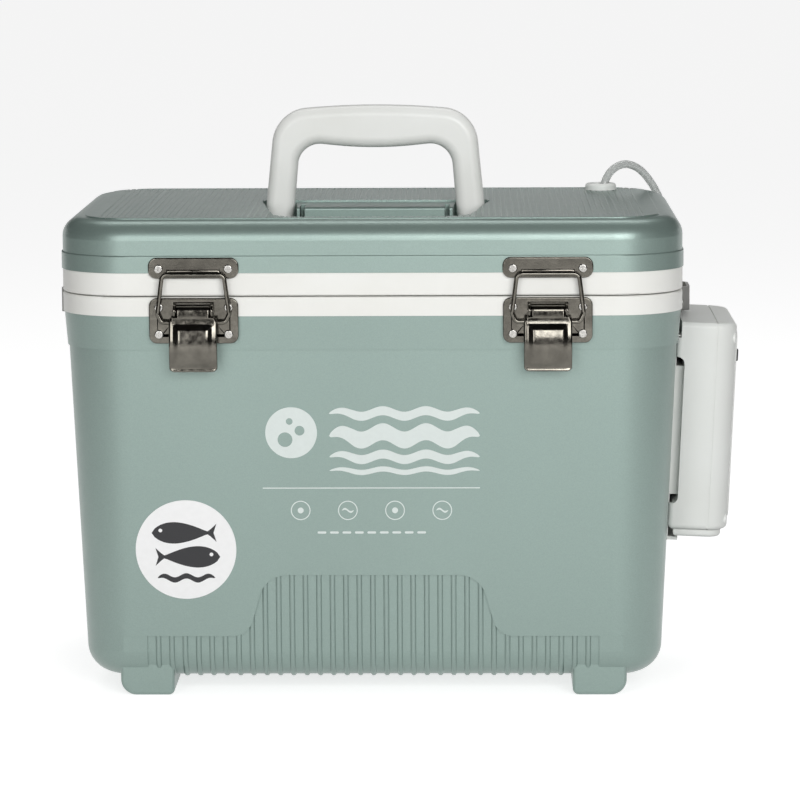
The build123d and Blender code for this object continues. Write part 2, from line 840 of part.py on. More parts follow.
# ---------------------------------------------------------------- carry handle
def handle_body():
    """Bow handle: two legs with rounded pivot ends and a crowned grip."""
    low_z = handle_pivot_z - handle_depth / 2
    apex_z = handle_top_z + handle_crown * 0.35
    shoulder_z = handle_top_z - handle_crown * 0.65
    outer = FilletPolyline(
        (-handle_half(low_z), low_z),
        (-handle_half(shoulder_z), shoulder_z),
        (0, apex_z),
        (handle_half(shoulder_z), shoulder_z),
        (handle_half(low_z), low_z),
        radius=[handle_shoulder_round, handle_crown_round, handle_shoulder_round],
    )
    outline = make_face(outer + Line((handle_half(low_z), low_z), (-handle_half(low_z), low_z)))
    loop_low = handle_base_half - handle_leg
    loop_high = handle_shoulder_half - handle_leg * 0.9
    loop_top_z = handle_top_z - handle_grip + 2.2
    inner = FilletPolyline(
        (-loop_low, low_z - handle_crown),
        (-loop_high, loop_top_z),
        (0, loop_top_z - handle_crown),
        (loop_high, loop_top_z),
        (loop_low, low_z - handle_crown),
        radius=[handle_inner_round, handle_crown_round / 2, handle_inner_round],
    )
    below = Line((loop_low, low_z - handle_crown), (-loop_low, low_z - handle_crown))
    loop = make_face(inner + below)
    half_depth = handle_depth / 2
    bow = extrude(Plane.XZ * (outline - loop), amount=half_depth, both=True)
    side = Pos(0, 0, handle_top_z) * Box(
        4 * handle_base_half,
        handle_depth,
        2 * (handle_top_z - handle_pivot_z),
        align=(Align.CENTER, Align.CENTER, Align.CENTER),
    )
    ends = rod(
        (-2 * handle_base_half, 0, handle_pivot_z), (1, 0, 0), half_depth, 4 * handle_base_half
    )
    bow = bow & (side + ends)
    long_edges = bow.edges().filter_by(
        lambda edge: abs(abs(edge.center().Y) - half_depth) < 0.01
        and edge.center().Z > handle_pivot_z + fit_gap
    )
    return fillet(long_edges, handle_edge_round)


handle = handle_body()
handle = handle - [handle_pin_hole, mirrored(handle_pin_hole)]
nodes["carry_handle"] = handle
handle_pin = rod((pin_start_x + fit_gap, 0, handle_pivot_z), (1, 0, 0), handle_pin_radius, pin_length - lid_deck_wall)
nodes["handle_pins"] = both_sides(handle_pin)


# ---------------------------------------------------------------- draw latches
def strike_plate(centre_x):
    """Plate on the lid with the lip that the bail hooks over."""
    height = strike_high_z - strike_low_z
    middle_z = (strike_high_z + strike_low_z) / 2
    face = Plane.XZ * (Pos(centre_x, middle_z) * RectangleRounded(strike_width, height, strike_round))
    plate = Pos(0, -mount_face_y, 0) * extrude(face, amount=plate_gauge)
    plate = fillet(plate.edges().group_by(Axis.Y)[0], plate_gauge * 0.5)
    lip_span = (centre_x - strike_lip_half, centre_x + strike_lip_half)
    lip = span_box(
        lip_span,
        (-plate_face_y - strike_lip_reach, -plate_face_y + plate_gauge / 2),
        (strike_low_z + plate_gauge / 2, strike_lip_high_z),
    )
    lip = fillet(lip.edges().group_by(Axis.Y)[0], strike_lip_reach * 0.7)
    holes = [
        screw_hole(seat, front_out, plate_gauge)
        for seat in strike_seats
        if abs(seat[0] - centre_x) < strike_width
    ]
    return plate + lip - holes


def catch_plate(centre_x):
    """Plate on the tub with the two ears that hold the lever's pin."""
    height = catch_high_z - catch_low_z
    middle_z = (catch_high_z + catch_low_z) / 2
    face = Plane.XZ * (Pos(centre_x, middle_z) * RectangleRounded(catch_width, height, catch_round))
    plate = Pos(0, -mount_face_y, 0) * extrude(face, amount=plate_gauge)
    plate = fillet(plate.edges().group_by(Axis.Y)[0], plate_gauge * 0.5)
    ear_length = lever_pin_reach
    ear = span_box(
        (ear_half, ear_half + ear_gauge),
        (-plate_face_y - ear_length, -plate_face_y + plate_gauge / 2),
        (lever_pin_z - ear_radius, ear_root_high_z),
    )
    ear = ear + rod((ear_half, lever_pin_y, lever_pin_z), (1, 0, 0), ear_radius, ear_gauge)
    bridge = span_box(
        (-ear_half - ear_gauge, ear_half + ear_gauge),
        (-plate_face_y - plate_gauge, -plate_face_y + plate_gauge / 2),
        (lever_pin_z + lever_roll_radius + soft_gap, ear_root_high_z + 0.6),
    )
    frame = Pos(centre_x, 0, 0) * (ear + mirrored(ear) + bridge)
    pin_hole = rod(
        (centre_x - catch_width / 2, lever_pin_y, lever_pin_z),
        (1, 0, 0),
        lever_pin_radius + bore_gap,
        catch_width,
    )
    holes = [
        screw_hole(seat, front_out, plate_gauge)
        for seat in catch_seats
        if abs(seat[0] - centre_x) < catch_width
    ]
    return plate + frame - [pin_hole, *holes]


def lever_profile():
    """Side profile of the lever's pressed pad: flat head, step, and bulged grip."""
    front = plate_face_y + lever_pin_reach + lever_roll_radius
    back = plate_face_y + lever_back_gap
    crest = front + lever_bulge
    crest_high_z = lever_break_z - 10.0
    crest_low_z = lever_low_z + 10.0
    swell = FilletPolyline(
        (-front, lever_wide_top_z),
        (-front, lever_break_z),
        (-crest, crest_high_z),
        (-crest, crest_low_z),
        (-front, lever_low_z),
        radius=[2.0, 12.0, 12.0],
    )
    rest = Polyline(
        (-front, lever_low_z), (-back, lever_low_z + 3.0), (-back, lever_wide_top_z), (-front, lever_wide_top_z)
    )
    return make_face(swell + rest)


def latch_lever(centre_x):
    """Pressed lever, open at the back, rolled round its pin at the top."""
    half = lever_width / 2
    front_y = -(plate_face_y + lever_pin_reach + lever_roll_radius)
    profile = Plane.YZ * lever_profile()
    pad = extrude(profile, amount=half, both=True)
    swell_edges = pad.edges().filter_by(
        lambda edge: abs(abs(edge.center().X) - half) < 0.01 and edge.center().Y < front_y + fit_gap
    )
    pad = fillet(swell_edges, lever_edge_round)
    hollow = extrude(offset(profile, amount=-lever_gauge), amount=half - lever_gauge, both=True)
    open_back = span_box(
        (-half + lever_gauge, half - lever_gauge),
        (front_y + lever_gauge, -plate_face_y),
        (lever_low_z + lever_gauge, lever_wide_top_z + fit_gap),
    )
    pad = pad - [hollow, open_back]
    roll = rod((-lever_head_half, lever_pin_y, lever_pin_z), (1, 0, 0), lever_roll_radius, 2 * lever_head_half)
    strip = span_box(
        (-lever_head_half, lever_head_half),
        (front_y, front_y + lever_gauge),
        (lever_wide_top_z - lever_gauge, lever_pin_z),
    )
    lever = pad + [roll, strip]
    pin_hole = rod((-half, lever_pin_y, lever_pin_z), (1, 0, 0), lever_pin_radius + bore_gap, lever_width)
    bail_hole = rod((-half, bail_y, bail_pivot_z), (1, 0, 0), bail_wire_radius + bore_gap, lever_width)
    return Pos(centre_x, 0, 0) * (lever - [pin_hole, bail_hole])


def latch_bail(centre_x):
    """Wire bail: its ends turn in through the lever, its bar hooks over the strike."""
    side = [
        (bail_end_half, bail_pivot_z),
        (bail_wide_half - 2.2, bail_pivot_z),
        (bail_wide_half, bail_wide_z),
        (bail_top_half, bail_bar_z),
    ]
    left = [(-x, z) for x, z in side]
    radii = [2.4, bail_round, bail_round, bail_round, bail_round, 2.4]
    line = FilletPolyline(*left, *reversed(side), radius=radii)
    path = Pos(0, bail_y, 0) * (Plane.XZ * line)
    wire = sweep(Plane(origin=path @ 0, z_dir=path % 0) * Circle(bail_wire_radius), path=path)
    return Pos(centre_x, 0, 0) * wire


lever_pin = rod(
    (-ear_half - ear_gauge - soft_gap, lever_pin_y, lever_pin_z),
    (1, 0, 0),
    lever_pin_radius,
    2 * (ear_half + ear_gauge + soft_gap),
)
for side_name, side in (("left", -1), ("right", 1)):
    nodes[side_name + "_strike_plate"] = strike_plate(side * latch_x)
    nodes[side_name + "_catch_plate"] = catch_plate(side * latch_x)
    nodes[side_name + "_latch_lever"] = latch_lever(side * latch_x)
    nodes[side_name + "_latch_bail"] = latch_bail(side * latch_x)
nodes["latch_lever_pins"] = group(Pos(side * latch_x, 0, 0) * lever_pin for side in (-1, 1))
nodes["strike_screws"] = group(screw(seat, front_out) for seat in strike_seats)
nodes["catch_screws"] = group(screw(seat, front_out) for seat in catch_seats)


# ---------------------------------------------------------------- lid hinges
def hinge_leaf(centre_x, up, seats):
    """One leaf of a butt hinge: up is 1 for the lid's leaf and -1 for the tub's."""
    clear = hinge_knuckle_radius + 0.4
    low, high = sorted((hinge_z + up * clear, hinge_z + up * hinge_leaf_height))
    half = hinge_width / 2
    leaf = span_box((centre_x - half, centre_x + half), (mount_face_y, plate_face_y), (low, high))
    end_edges = leaf.edges().filter_by(Axis.Y).sort_by(Axis.Z)
    leaf = fillet(end_edges[-2:] if up > 0 else end_edges[:2], 3.0)
    pitch = hinge_width / hinge_knuckles
    first = 0 if up < 0 else 1
    for index in range(first, hinge_knuckles, 2):
        start_x = centre_x - half + index * pitch + hinge_knuckle_gap / 2
        length = pitch - hinge_knuckle_gap
        low, high = sorted((hinge_z, hinge_z + up * (clear + fit_gap)))
        arm = span_box((start_x, start_x + length), (mount_face_y + fit_gap * 2, plate_face_y), (low, high))
        knuckle = rod((start_x, hinge_y, hinge_z), (1, 0, 0), hinge_knuckle_radius, length)
        leaf = leaf + [arm, knuckle]
    bore = rod((centre_x - half, hinge_y, hinge_z), (1, 0, 0), hinge_pin_radius + bore_gap, hinge_width)
    holes = [
        screw_hole(seat, back_out, plate_gauge)
        for seat in seats
        if abs(seat[0] - centre_x) < hinge_width
    ]
    return leaf - [bore, *holes]


for side_name, side in (("left", -1), ("right", 1)):
    nodes[side_name + "_hinge_tub_leaf"] = hinge_leaf(side * hinge_x, -1, tub_hinge_seats)
    nodes[side_name + "_hinge_lid_leaf"] = hinge_leaf(side * hinge_x, 1, lid_hinge_seats)
nodes["hinge_pins"] = group(
    rod((side * hinge_x - hinge_width / 2, hinge_y, hinge_z), (1, 0, 0), hinge_pin_radius, hinge_width)
    for side in (-1, 1)
)
nodes["hinge_tub_screws"] = group(screw(seat, back_out) for seat in tub_hinge_seats)
nodes["hinge_lid_screws"] = group(screw(seat, back_out) for seat in lid_hinge_seats)


# ---------------------------------------------------------------- strap loops
def strap_loop(side):
    """Bent strip that stands off the side wall between its two screwed feet."""
    near = strap_wall_x + strap_gauge / 2
    far = near + strap_reach
    toe = strap_half
    heel = strap_half - strap_foot
    knee = heel - strap_ramp
    line = FilletPolyline(
        (near, strap_y - toe),
        (near, strap_y - heel),
        (far, strap_y - knee),
        (far, strap_y + knee),
        (near, strap_y + heel),
        (near, strap_y + toe),
        radius=strap_bend,
    )
    strip = Pos(0, 0, strap_low_z) * extrude(trace(line, strap_gauge), amount=strap_height)
    strip = fillet(strip.edges().filter_by(Axis.X).group_by(Axis.Y)[0], 3.0)
    strip = fillet(strip.edges().filter_by(Axis.X).group_by(Axis.Y)[-1], 3.0)
    holes = [screw_hole(seat, (1, 0, 0), strap_gauge) for seat in strap_screw_seats(1)]
    strip = strip - holes
    return strip if side > 0 else mirrored(strip)


nodes["left_strap_loop"] = strap_loop(-1)
nodes["right_strap_loop"] = strap_loop(1)
nodes["strap_loop_screws"] = group(
    screw(seat, (side, 0, 0)) for side in (-1, 1) for seat in strap_screw_seats(side)
)


# ---------------------------------------------------------------- air pump
full_case = span_box((pump_back, pump_front), (-pump_half_y, pump_half_y), (pump_low, pump_high))
full_case = fillet(full_case.faces().sort_by(Axis.X)[-1].edges().filter_by(Axis.Z), pump_corner)
full_case = fillet(full_case.faces().sort_by(Axis.X)[0].edges().filter_by(Axis.Z), pump_inner_corner)
full_case = fillet(full_case.faces().sort_by(Axis.X)[-1].edges(), 3.0)
hollow_case = span_box(
    (pump_relief + pump_wall, pump_front - pump_wall),
    (-pump_half_y + pump_wall, pump_half_y - pump_wall),
    (pump_low + pump_wall, pump_high - pump_wall),
)
hollow_case = fillet(
    hollow_case.faces().sort_by(Axis.X)[-1].edges().filter_by(Axis.Z), pump_corner - pump_wall
)
relief = span_box(
    (0, pump_relief), (-2 * pump_half_y, 2 * pump_half_y), (pump_relief_low, pump_relief_high)
)
relief = fillet(relief.edges().filter_by(Axis.Y).sort_by(Axis.X)[-2:], pump_relief_round)
rim_notch = span_box(
    (0, pump_rim_gap),
    (-2 * pump_half_y, 2 * pump_half_y),
    (rim_z - pump_z - soft_gap, 2 * pump_high),
)
bracket_channel = span_box(
    (0, pump_rim_gap),
    (-bracket_half_y - soft_gap, bracket_half_y + soft_gap),
    (2 * pump_low, 2 * pump_high),
)
behind_seam = span_box((0, pump_seam), (-2 * pump_half_y, 2 * pump_half_y), (2 * pump_low, 2 * pump_high))

case_screw_seats = [
    (pump_back + screw_head_height + 0.5, side * (pump_half_y - 9), row)
    for side in (-1, 1)
    for row in (pump_high - 9, pump_low + 6)
]
case_screw_length = 22.0
screw_wells = [
    rod((0, y, w), (1, 0, 0), screw_head_radius + 0.5, x) for x, y, w in case_screw_seats
]
case_posts = [
    rod((pump_relief, y, w), (1, 0, 0), 3.6, pump_front - pump_relief - pump_wall / 2)
    for x, y, w in case_screw_seats
]
case_screw_bores = [screw_hole(seat, (-1, 0, 0), case_screw_length) for seat in case_screw_seats]

# battery bay mouth in the case floor, and the cap under it
cell_span = (cell_y - cell_pitch / 2 - cell_radius - 1, cell_y + cell_pitch / 2 + cell_radius + 1)
bay_mouth = span_box(
    (pump_core - cell_radius - 1, pump_core + cell_radius + 1),
    cell_span,
    (pump_low - 1, pump_low + pump_wall + 1),
)

# nipple hole in the back wall of the case
nipple_w = (chamber_low + chamber_high) / 2
nipple_x = pump_seam - nipple_radius * 2 - 1.2
nipple_hole = rod(
    (nipple_x, pump_half_y - 2 * pump_wall, nipple_w), (0, 1, 0), nipple_radius + 0.6 + fit_gap, 3 * pump_wall
)

back_case = (full_case & behind_seam) - hollow_case - relief - [rim_notch, bracket_channel]
back_case = back_case + [post & behind_seam for post in case_posts]
crank_w = motor_low + motor_length + 2.0
pin_w = crank_w + crank_disc_height
rocker_w = pin_w + 0.8
rocker_u = pump_seam - rocker_post_radius - 0.3
rocker_post = rod(
    (rocker_u, rocker_post_y, rocker_w - 2), (0, 0, 1), rocker_post_radius, pump_high - pump_wall / 2 - rocker_w + 2
)
motor_saddle = span_box(
    (pump_relief, pump_core),
    (motor_y - motor_radius - 2, motor_y + motor_radius + 2),
    (motor_low + 4, motor_low + 16),
)
motor_bed = rod((pump_core, motor_y, motor_low), (0, 0, 1), motor_radius + fit_gap, motor_length)
back_case = back_case + [motor_saddle & behind_seam]
back_case = back_case - motor_bed
contact_shelf = span_box(
    (pump_relief, pump_core - fit_gap),
    cell_span,
    (pump_low + pump_wall + cell_length + contact_gauge + 1.6, pump_low + pump_wall + cell_length + contact_gauge + 3.6),
)
back_case = back_case + [contact_shelf, rocker_post]
back_case = back_case - [*screw_wells, *case_screw_bores, bay_mouth, nipple_hole]

front_cover = (full_case - behind_seam) - hollow_case
cover_trim = full_case - span_box(
    (0, 2 * pump_front), (-pump_half_y + pump_cover_inset, pump_half_y - pump_cover_inset), (pump_low + pump_cover_inset, pump_high - pump_cover_inset)
)
seam_zone = span_box((pump_seam, pump_seam + 1.0), (-2 * pump_half_y, 2 * pump_half_y), (2 * pump_low, 2 * pump_high))
front_cover = front_cover - (cover_trim & seam_zone)
cover_panel = span_box(
    (pump_front - pump_wall, pump_front + pump_panel_rise),
    (-pump_half_y + pump_corner + 1, pump_half_y - pump_corner - 1),
    (pump_low + pump_panel_margin, pump_high - pump_panel_margin),
)
cover_panel = fillet(cover_panel.edges().filter_by(Axis.X), 6.0)
cover_panel = fillet(cover_panel.edges().group_by(Axis.X)[-1], pump_panel_rise * 0.7)
front_cover = front_cover + [post - behind_seam for post in case_posts]
front_cover = front_cover + cover_panel
switch_slot = span_box(
    (pump_seam + pump_wall, 2 * pump_front),
    (switch_y - switch_knob_width / 2 - soft_gap, switch_y + switch_knob_width / 2 + soft_gap),
    (switch_w - soft_gap, switch_w + switch_knob + switch_travel + soft_gap),
)
front_cover = front_cover - [*case_screw_bores, switch_slot, bay_mouth]

bracket = span_box((0, bracket_gauge), (-bracket_half_y, bracket_half_y), (bracket_low, bracket_high))
bracket = fillet(bracket.edges().filter_by(Axis.X), 4.0)
bracket_pad = span_box(
    (bracket_gauge / 2, pump_relief),
    (-bracket_pad_half_y, bracket_pad_half_y),
    (bracket_pad_low, bracket_pad_high),
)
bracket_shelf = span_box(
    (bracket_gauge / 2, bracket_lip),
    (-bracket_half_y + 4, bracket_half_y - 4),
    (bracket_low, bracket_low + bracket_gauge),
)
bracket = bracket + [bracket_pad, bracket_shelf]
bracket = bracket - [screw_hole(seat, (1, 0, 0), bracket_screw_length) for seat in bracket_seats]

nodes["pump_bracket"] = pump_place * bracket
nodes["pump_bracket_screws"] = pump_place * group(
    screw(seat, (1, 0, 0), bracket_screw_length) for seat in bracket_seats
)
nodes["pump_back_case"] = pump_place * back_case
nodes["pump_front_cover"] = pump_place * front_cover
nodes["pump_case_screws"] = pump_place * group(
    screw(seat, (-1, 0, 0), case_screw_length) for seat in case_screw_seats
)

battery_cap = span_box(
    (pump_back + cap_inset, pump_front - cap_inset),
    (-pump_half_y + cap_inset, pump_half_y - cap_inset),
    (pump_low - cap_height, pump_low - soft_gap),
)
battery_cap = fillet(battery_cap.faces().sort_by(Axis.X)[-1].edges().filter_by(Axis.Z), pump_corner - cap_inset)
battery_cap = fillet(battery_cap.edges().group_by(Axis.Z)[0], 2.0)
cap_top = pump_low - soft_gap
cap_contact = span_box(
    (pump_core - 4, pump_core + 4),
    (cell_span[0] + 1, cell_span[1] - 1),
    (cap_top - contact_gauge, cap_top),
)
nodes["battery_cap"] = pump_place * (battery_cap - cap_contact)
nodes["battery_cap_contact"] = pump_place * cap_contact

cell_low = pump_low + pump_wall + contact_gauge
cells = [
    rod((pump_core, cell_y + side * cell_pitch / 2, cell_low - 1.6), (0, 0, 1), cell_radius, cell_length)
    for side in (-1, 1)
]
nodes["battery_cells"] = pump_place * group(cells)
top_contact_w = cell_low - 1.6 + cell_length
shelf_low = pump_low + pump_wall + cell_length + contact_gauge + 1.6
top_contacts = [
    span_box(
        (pump_relief + pump_wall, pump_core + 4),
        (cell_y + side * cell_pitch / 2 - 4, cell_y + side * cell_pitch / 2 + 4),
        (top_contact_w + fit_gap, shelf_low),
    )
    for side in (-1, 1)
]
nodes["battery_springs"] = pump_place * group(top_contacts)

motor = rod((pump_core, motor_y, motor_low), (0, 0, 1), motor_radius, motor_length)
motor_nose = rod((pump_core, motor_y, motor_low + motor_length), (0, 0, 1), 3.0, 1.5)
nodes["pump_motor"] = pump_place * (motor + motor_nose)
crank_disc = rod((pump_core, motor_y, crank_w), (0, 0, 1), crank_disc_radius, crank_disc_height)
crank_pin = rod((pump_core, motor_y - crank_throw, pin_w), (0, 0, 1), crank_pin_radius, crank_pin_height)
nodes["crank_disc"] = pump_place * (crank_disc + crank_pin)

rocker_thick = rocker_height
fork_reach = rocker_post_y - motor_y
fork_half = (
    crank_pin_radius + crank_throw + fork_reach * math.sin(math.radians(rocker_swing)) + fit_gap
)
arm_half = 2.0
rocker_arm = span_box(
    (rocker_u - arm_half, rocker_u + arm_half),
    (motor_y + 4.5, diaphragm_y + 3),
    (rocker_w, rocker_w + rocker_thick),
)
fork = span_box(
    (pump_core - fork_half - 1.4, pump_core + fork_half + 1.4),
    (motor_y - 3.4, motor_y + 5.5),
    (rocker_w, rocker_w + rocker_thick),
)
fork_slot = span_box(
    (pump_core - fork_half, pump_core + fork_half),
    (motor_y - 4.4, motor_y + 3.4),
    (rocker_w - 1, rocker_w + rocker_thick + 1),
)
rocker_hub = rod((rocker_u, rocker_post_y, rocker_w), (0, 0, 1), 3.4, rocker_thick)
rocker_bore = rod((rocker_u, rocker_post_y, rocker_w - 1), (0, 0, 1), rocker_post_radius + bore_gap, rocker_thick + 2)
rocker = rocker_arm + [fork, rocker_hub]
rocker = rocker - [fork_slot, rocker_bore]
nodes["pump_rocker"] = pump_place * rocker

diaphragm_x = rocker_u + arm_half + 1.9
diaphragm = rod((diaphragm_x, diaphragm_y, nipple_w), (1, 0, 0), diaphragm_radius, diaphragm_height / 2)
diaphragm_button = rod((diaphragm_x - 0.3, diaphragm_y, nipple_w), (1, 0, 0), 3.0, 0.4)
nodes["pump_diaphragm"] = pump_place * (diaphragm + diaphragm_button)
chamber_x = diaphragm_x + diaphragm_height / 2
chamber = span_box(
    (chamber_x, pump_front - pump_wall),
    (diaphragm_y - chamber_half_y, diaphragm_y + chamber_half_y),
    (chamber_low, chamber_high),
)
nodes["air_chamber"] = pump_place * chamber

nipple_root = pump_wall + 2.5
nipple = rod(
    (nipple_x, pump_half_y - nipple_root, nipple_w),
    (0, 1, 0),
    nipple_radius,
    nipple_root + nipple_collar_length + nipple_socket - fit_gap,
)
nipple = nipple + rod(
    (nipple_x, pump_half_y + fit_gap, nipple_w), (0, 1, 0), 3.4, nipple_collar_length - fit_gap
)
nodes["air_nipple"] = pump_place * nipple

knob = span_box(
    (pump_front - pump_wall - fit_gap, pump_front + pump_panel_rise + switch_knob_rise),
    (switch_y - switch_knob_width / 2, switch_y + switch_knob_width / 2),
    (switch_w, switch_w + switch_knob),
)
knob = fillet(knob.edges().group_by(Axis.X)[-1], 0.8)
knob_base = span_box(
    (pump_front - pump_wall - 2.0, pump_front - pump_wall - fit_gap),
    (switch_y - 4, switch_y + 4),
    (switch_w - 2, switch_w + switch_knob + 2),
)
nodes["speed_switch"] = pump_place * (knob + knob_base)


# ---------------------------------------------------------------- grommet, hoses, air stone
sleeve_low_z = plug_low_z
sleeve = Pos(grommet_x, grommet_y, sleeve_low_z) * Cylinder(
    grommet_sleeve_radius, panel_z - sleeve_low_z, align=(Align.CENTER, Align.CENTER, Align.MIN)
)
flange = Pos(grommet_x, grommet_y, panel_z) * Cylinder(
    grommet_flange_radius, grommet_flange, align=(Align.CENTER, Align.CENTER, Align.MIN)
)
flange = fillet(flange.edges().group_by(Axis.Z)[-1], grommet_flange * 0.45)
grommet_bore = Pos(grommet_x, grommet_y, 0) * Cylinder(
    hose_radius + bore_gap, 2 * panel_z, align=(Align.CENTER, Align.CENTER, Align.MIN)
)
top_mouth = Pos(grommet_x, grommet_y, panel_z + grommet_flange - grommet_mouth_depth / 2) * Cone(
    hose_radius + bore_gap, hose_radius + grommet_mouth, grommet_mouth_depth
)
low_mouth = Pos(grommet_x, grommet_y, sleeve_low_z + grommet_mouth_depth / 2) * Cone(
    hose_radius + grommet_mouth / 2, hose_radius + bore_gap, grommet_mouth_depth
)
nodes["hose_grommet"] = sleeve + flange - [grommet_bore, top_mouth, low_mouth]

nipple_seat = (pump_place * Pos(nipple_x, pump_half_y + nipple_collar_length, nipple_w)).position
air_hose_end = [
    (nipple_seat.X, nipple_seat.Y + air_hose_last_run, nipple_seat.Z),
    (nipple_seat.X, nipple_seat.Y, nipple_seat.Z),
]
air_hose = hose("air_hose", air_hose_arch + air_hose_end)
nodes["air_hose"] = air_hose - rod(nipple_seat, (0, 1, 0), nipple_radius + bore_gap, nipple_socket)

stone_z = liner_floor_z + stone_radius + fit_gap
stone_end_x = stone_x + stone_length / 2
stone = rod((stone_x - stone_length / 2, stone_y, stone_z), (1, 0, 0), stone_radius, stone_length)
stone = fillet(stone.edges(), 2.0)
stone_spigot = rod(
    (stone_end_x - 2, stone_y, stone_z), (1, 0, 0), nipple_radius, nipple_socket + 2 - fit_gap
)
nodes["air_stone"] = stone + stone_spigot
tank_hose_end = [
    (stone_end_x + tank_hose_last_run, stone_y, stone_z),
    (stone_end_x + fit_gap, stone_y, stone_z),
]
tank_hose = hose("tank_hose", tank_hose_drop + tank_hose_end)
nodes["tank_hose"] = tank_hose - rod(
    (stone_end_x, stone_y, stone_z), (1, 0, 0), nipple_radius + bore_gap, nipple_socket + fit_gap
)


# ---------------------------------------------------------------- write the parts
os.makedirs("parts", exist_ok=True)
for name, shape in nodes.items():
    export_step(Pos(-outline_middle.X, -outline_middle.Y, 0) * shape, f"parts/{name}.step")
print("outline middle", outline_middle)
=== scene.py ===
import math

import bpy
from bpy.props import FloatProperty, FloatVectorProperty, IntProperty, PointerProperty
from mathutils import Matrix, Vector


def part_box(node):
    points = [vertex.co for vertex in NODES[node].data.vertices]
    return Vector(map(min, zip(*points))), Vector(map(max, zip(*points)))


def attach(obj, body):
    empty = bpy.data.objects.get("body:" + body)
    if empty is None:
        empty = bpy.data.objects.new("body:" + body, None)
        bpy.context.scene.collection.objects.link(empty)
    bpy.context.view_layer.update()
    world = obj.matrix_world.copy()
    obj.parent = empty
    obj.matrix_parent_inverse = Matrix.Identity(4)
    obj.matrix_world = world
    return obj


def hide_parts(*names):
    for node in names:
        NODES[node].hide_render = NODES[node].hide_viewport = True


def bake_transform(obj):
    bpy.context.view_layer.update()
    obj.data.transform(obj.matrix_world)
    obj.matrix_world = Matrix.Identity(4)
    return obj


bl_info = {
    "name": "Aerated bait bucket",
    "version": (1, 0, 0),
    "blender": (4, 5, 0),
    "location": "3D View > Sidebar > Bait bucket",
    "description": "Dresses the packed bait bucket with finishes, hoses, printing and a plain studio",
    "category": "Object",
}

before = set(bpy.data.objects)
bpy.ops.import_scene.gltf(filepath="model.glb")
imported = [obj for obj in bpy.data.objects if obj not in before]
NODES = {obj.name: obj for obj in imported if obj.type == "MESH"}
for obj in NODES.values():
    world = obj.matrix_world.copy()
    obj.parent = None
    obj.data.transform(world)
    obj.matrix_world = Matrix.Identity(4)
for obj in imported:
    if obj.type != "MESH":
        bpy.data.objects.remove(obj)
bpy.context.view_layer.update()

# The middle of the tub in the row frame, and the front wall that the printing follows.
TUB_MIDDLE = Vector((-0.0135093, 0.00395, 0.0))
BAND_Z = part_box("outer_shell")[1].z
WALL_HALF_Y = 0.1162
WALL_SLOPE = math.tan(math.radians(2.6))

# Routes of the two hoses about the middle of the tub, in metres.
GROMMET_X = 0.136
GROMMET_Y = 0.087
JOIN_Z = 0.2576
NIPPLE = (0.1928253, 0.0435, 0.17708)
STONE_SPIGOT = (0.0770953, 0.040, 0.0346)
AIR_HOSE_ROUTE = [
    (GROMMET_X, GROMMET_Y, JOIN_Z), (GROMMET_X, GROMMET_Y, 0.2706), (0.1393, 0.0899, 0.2831),
    (0.1456, 0.0949, 0.2893), (0.1534, 0.101, 0.2906), (0.1627, 0.108, 0.2855),
    (0.1726, 0.116, 0.271), (0.178, 0.1215, 0.254), (0.1815, 0.1248, 0.236),
    (0.1845, 0.1215, 0.219), (0.1872, 0.112, 0.205), (0.1896, 0.098, 0.194),
    (0.1916, 0.082, 0.1845), (NIPPLE[0], NIPPLE[1] + 0.015, NIPPLE[2]), NIPPLE,
]
TANK_HOSE_ROUTE = [
    (GROMMET_X, GROMMET_Y, JOIN_Z), (GROMMET_X, GROMMET_Y, 0.2176), (0.133, 0.0826, 0.175),
    (0.1295, 0.0745, 0.138), (0.1245, 0.066, 0.105), (0.1175, 0.0578, 0.072),
    (0.110, 0.0495, 0.0535), (0.102, 0.0435, 0.0425),
    (STONE_SPIGOT[0] + 0.012, STONE_SPIGOT[1], STONE_SPIGOT[2]), STONE_SPIGOT,
]

# Heights between which each hose was to turn from the tub's motion to the lid's; nothing reads them.
AIR_HOSE_BEND_LOW = 0.205
TANK_HOSE_BEND_LOW = 0.06

# Pressed shape of a latch lever, in metres.
LEVER_ROLL = 0.003            # radius of the rolled head
LEVER_HEAD_HALF = 0.0095
LEVER_NECK_DROP = 0.0034      # from the pin down to the neck
LEVER_SHOULDER_DROP = 0.0066  # from the pin down to the full width
LEVER_BOW = 0.0034
LEVER_TIP_CURL = 0.0006
LEVER_TIP_NARROWING = 0.0016
LEVER_FOLD = 0.0011
LEVER_SIDE_REACH = 0.0022
LEVER_PAD_RISE = 0.0017
LEVER_PAD_MARGIN = 0.0022
LEVER_PAD_SLOPE = 0.0034
LEVER_GAUGE = 0.0009

PLATE_EDGE_ROUND = 0.0007
FILM_LIFT = 0.00002           # from the wall to the underside of a film

# Studio levels.
FLOOR_LIFT = 0.72
FLOOR_GREY = 0.62
WORLD_LIGHT = 0.3
CARD_GREY = 0.02
BACK_CARD_LOW = 0.55

GREEN_NODES = ("outer_shell", "lid_shell")
LINER_NODES = ("tank_liner", "lid_liner")
HANDLE_NODES = ("carry_handle",)
PUMP_NODES = ("pump_back_case", "pump_front_cover", "pump_bracket", "battery_cap")
LATCH_NODES = (
    "left_strike_plate", "right_strike_plate", "left_catch_plate", "right_catch_plate",
    "left_latch_lever", "right_latch_lever", "left_latch_bail", "right_latch_bail",
    "latch_lever_pins",
)
LATCH_SCREW_NODES = ("strike_screws", "catch_screws")
STEEL_NODES = (
    "left_hinge_tub_leaf", "right_hinge_tub_leaf", "left_hinge_lid_leaf", "right_hinge_lid_leaf",
    "hinge_pins", "hinge_tub_screws", "hinge_lid_screws", "left_strap_loop", "right_strap_loop",
    "strap_loop_screws", "pump_bracket_screws", "pump_case_screws", "handle_pins", "pump_motor",
)
RUBBER_NODES = ("lid_gasket", "pump_diaphragm")
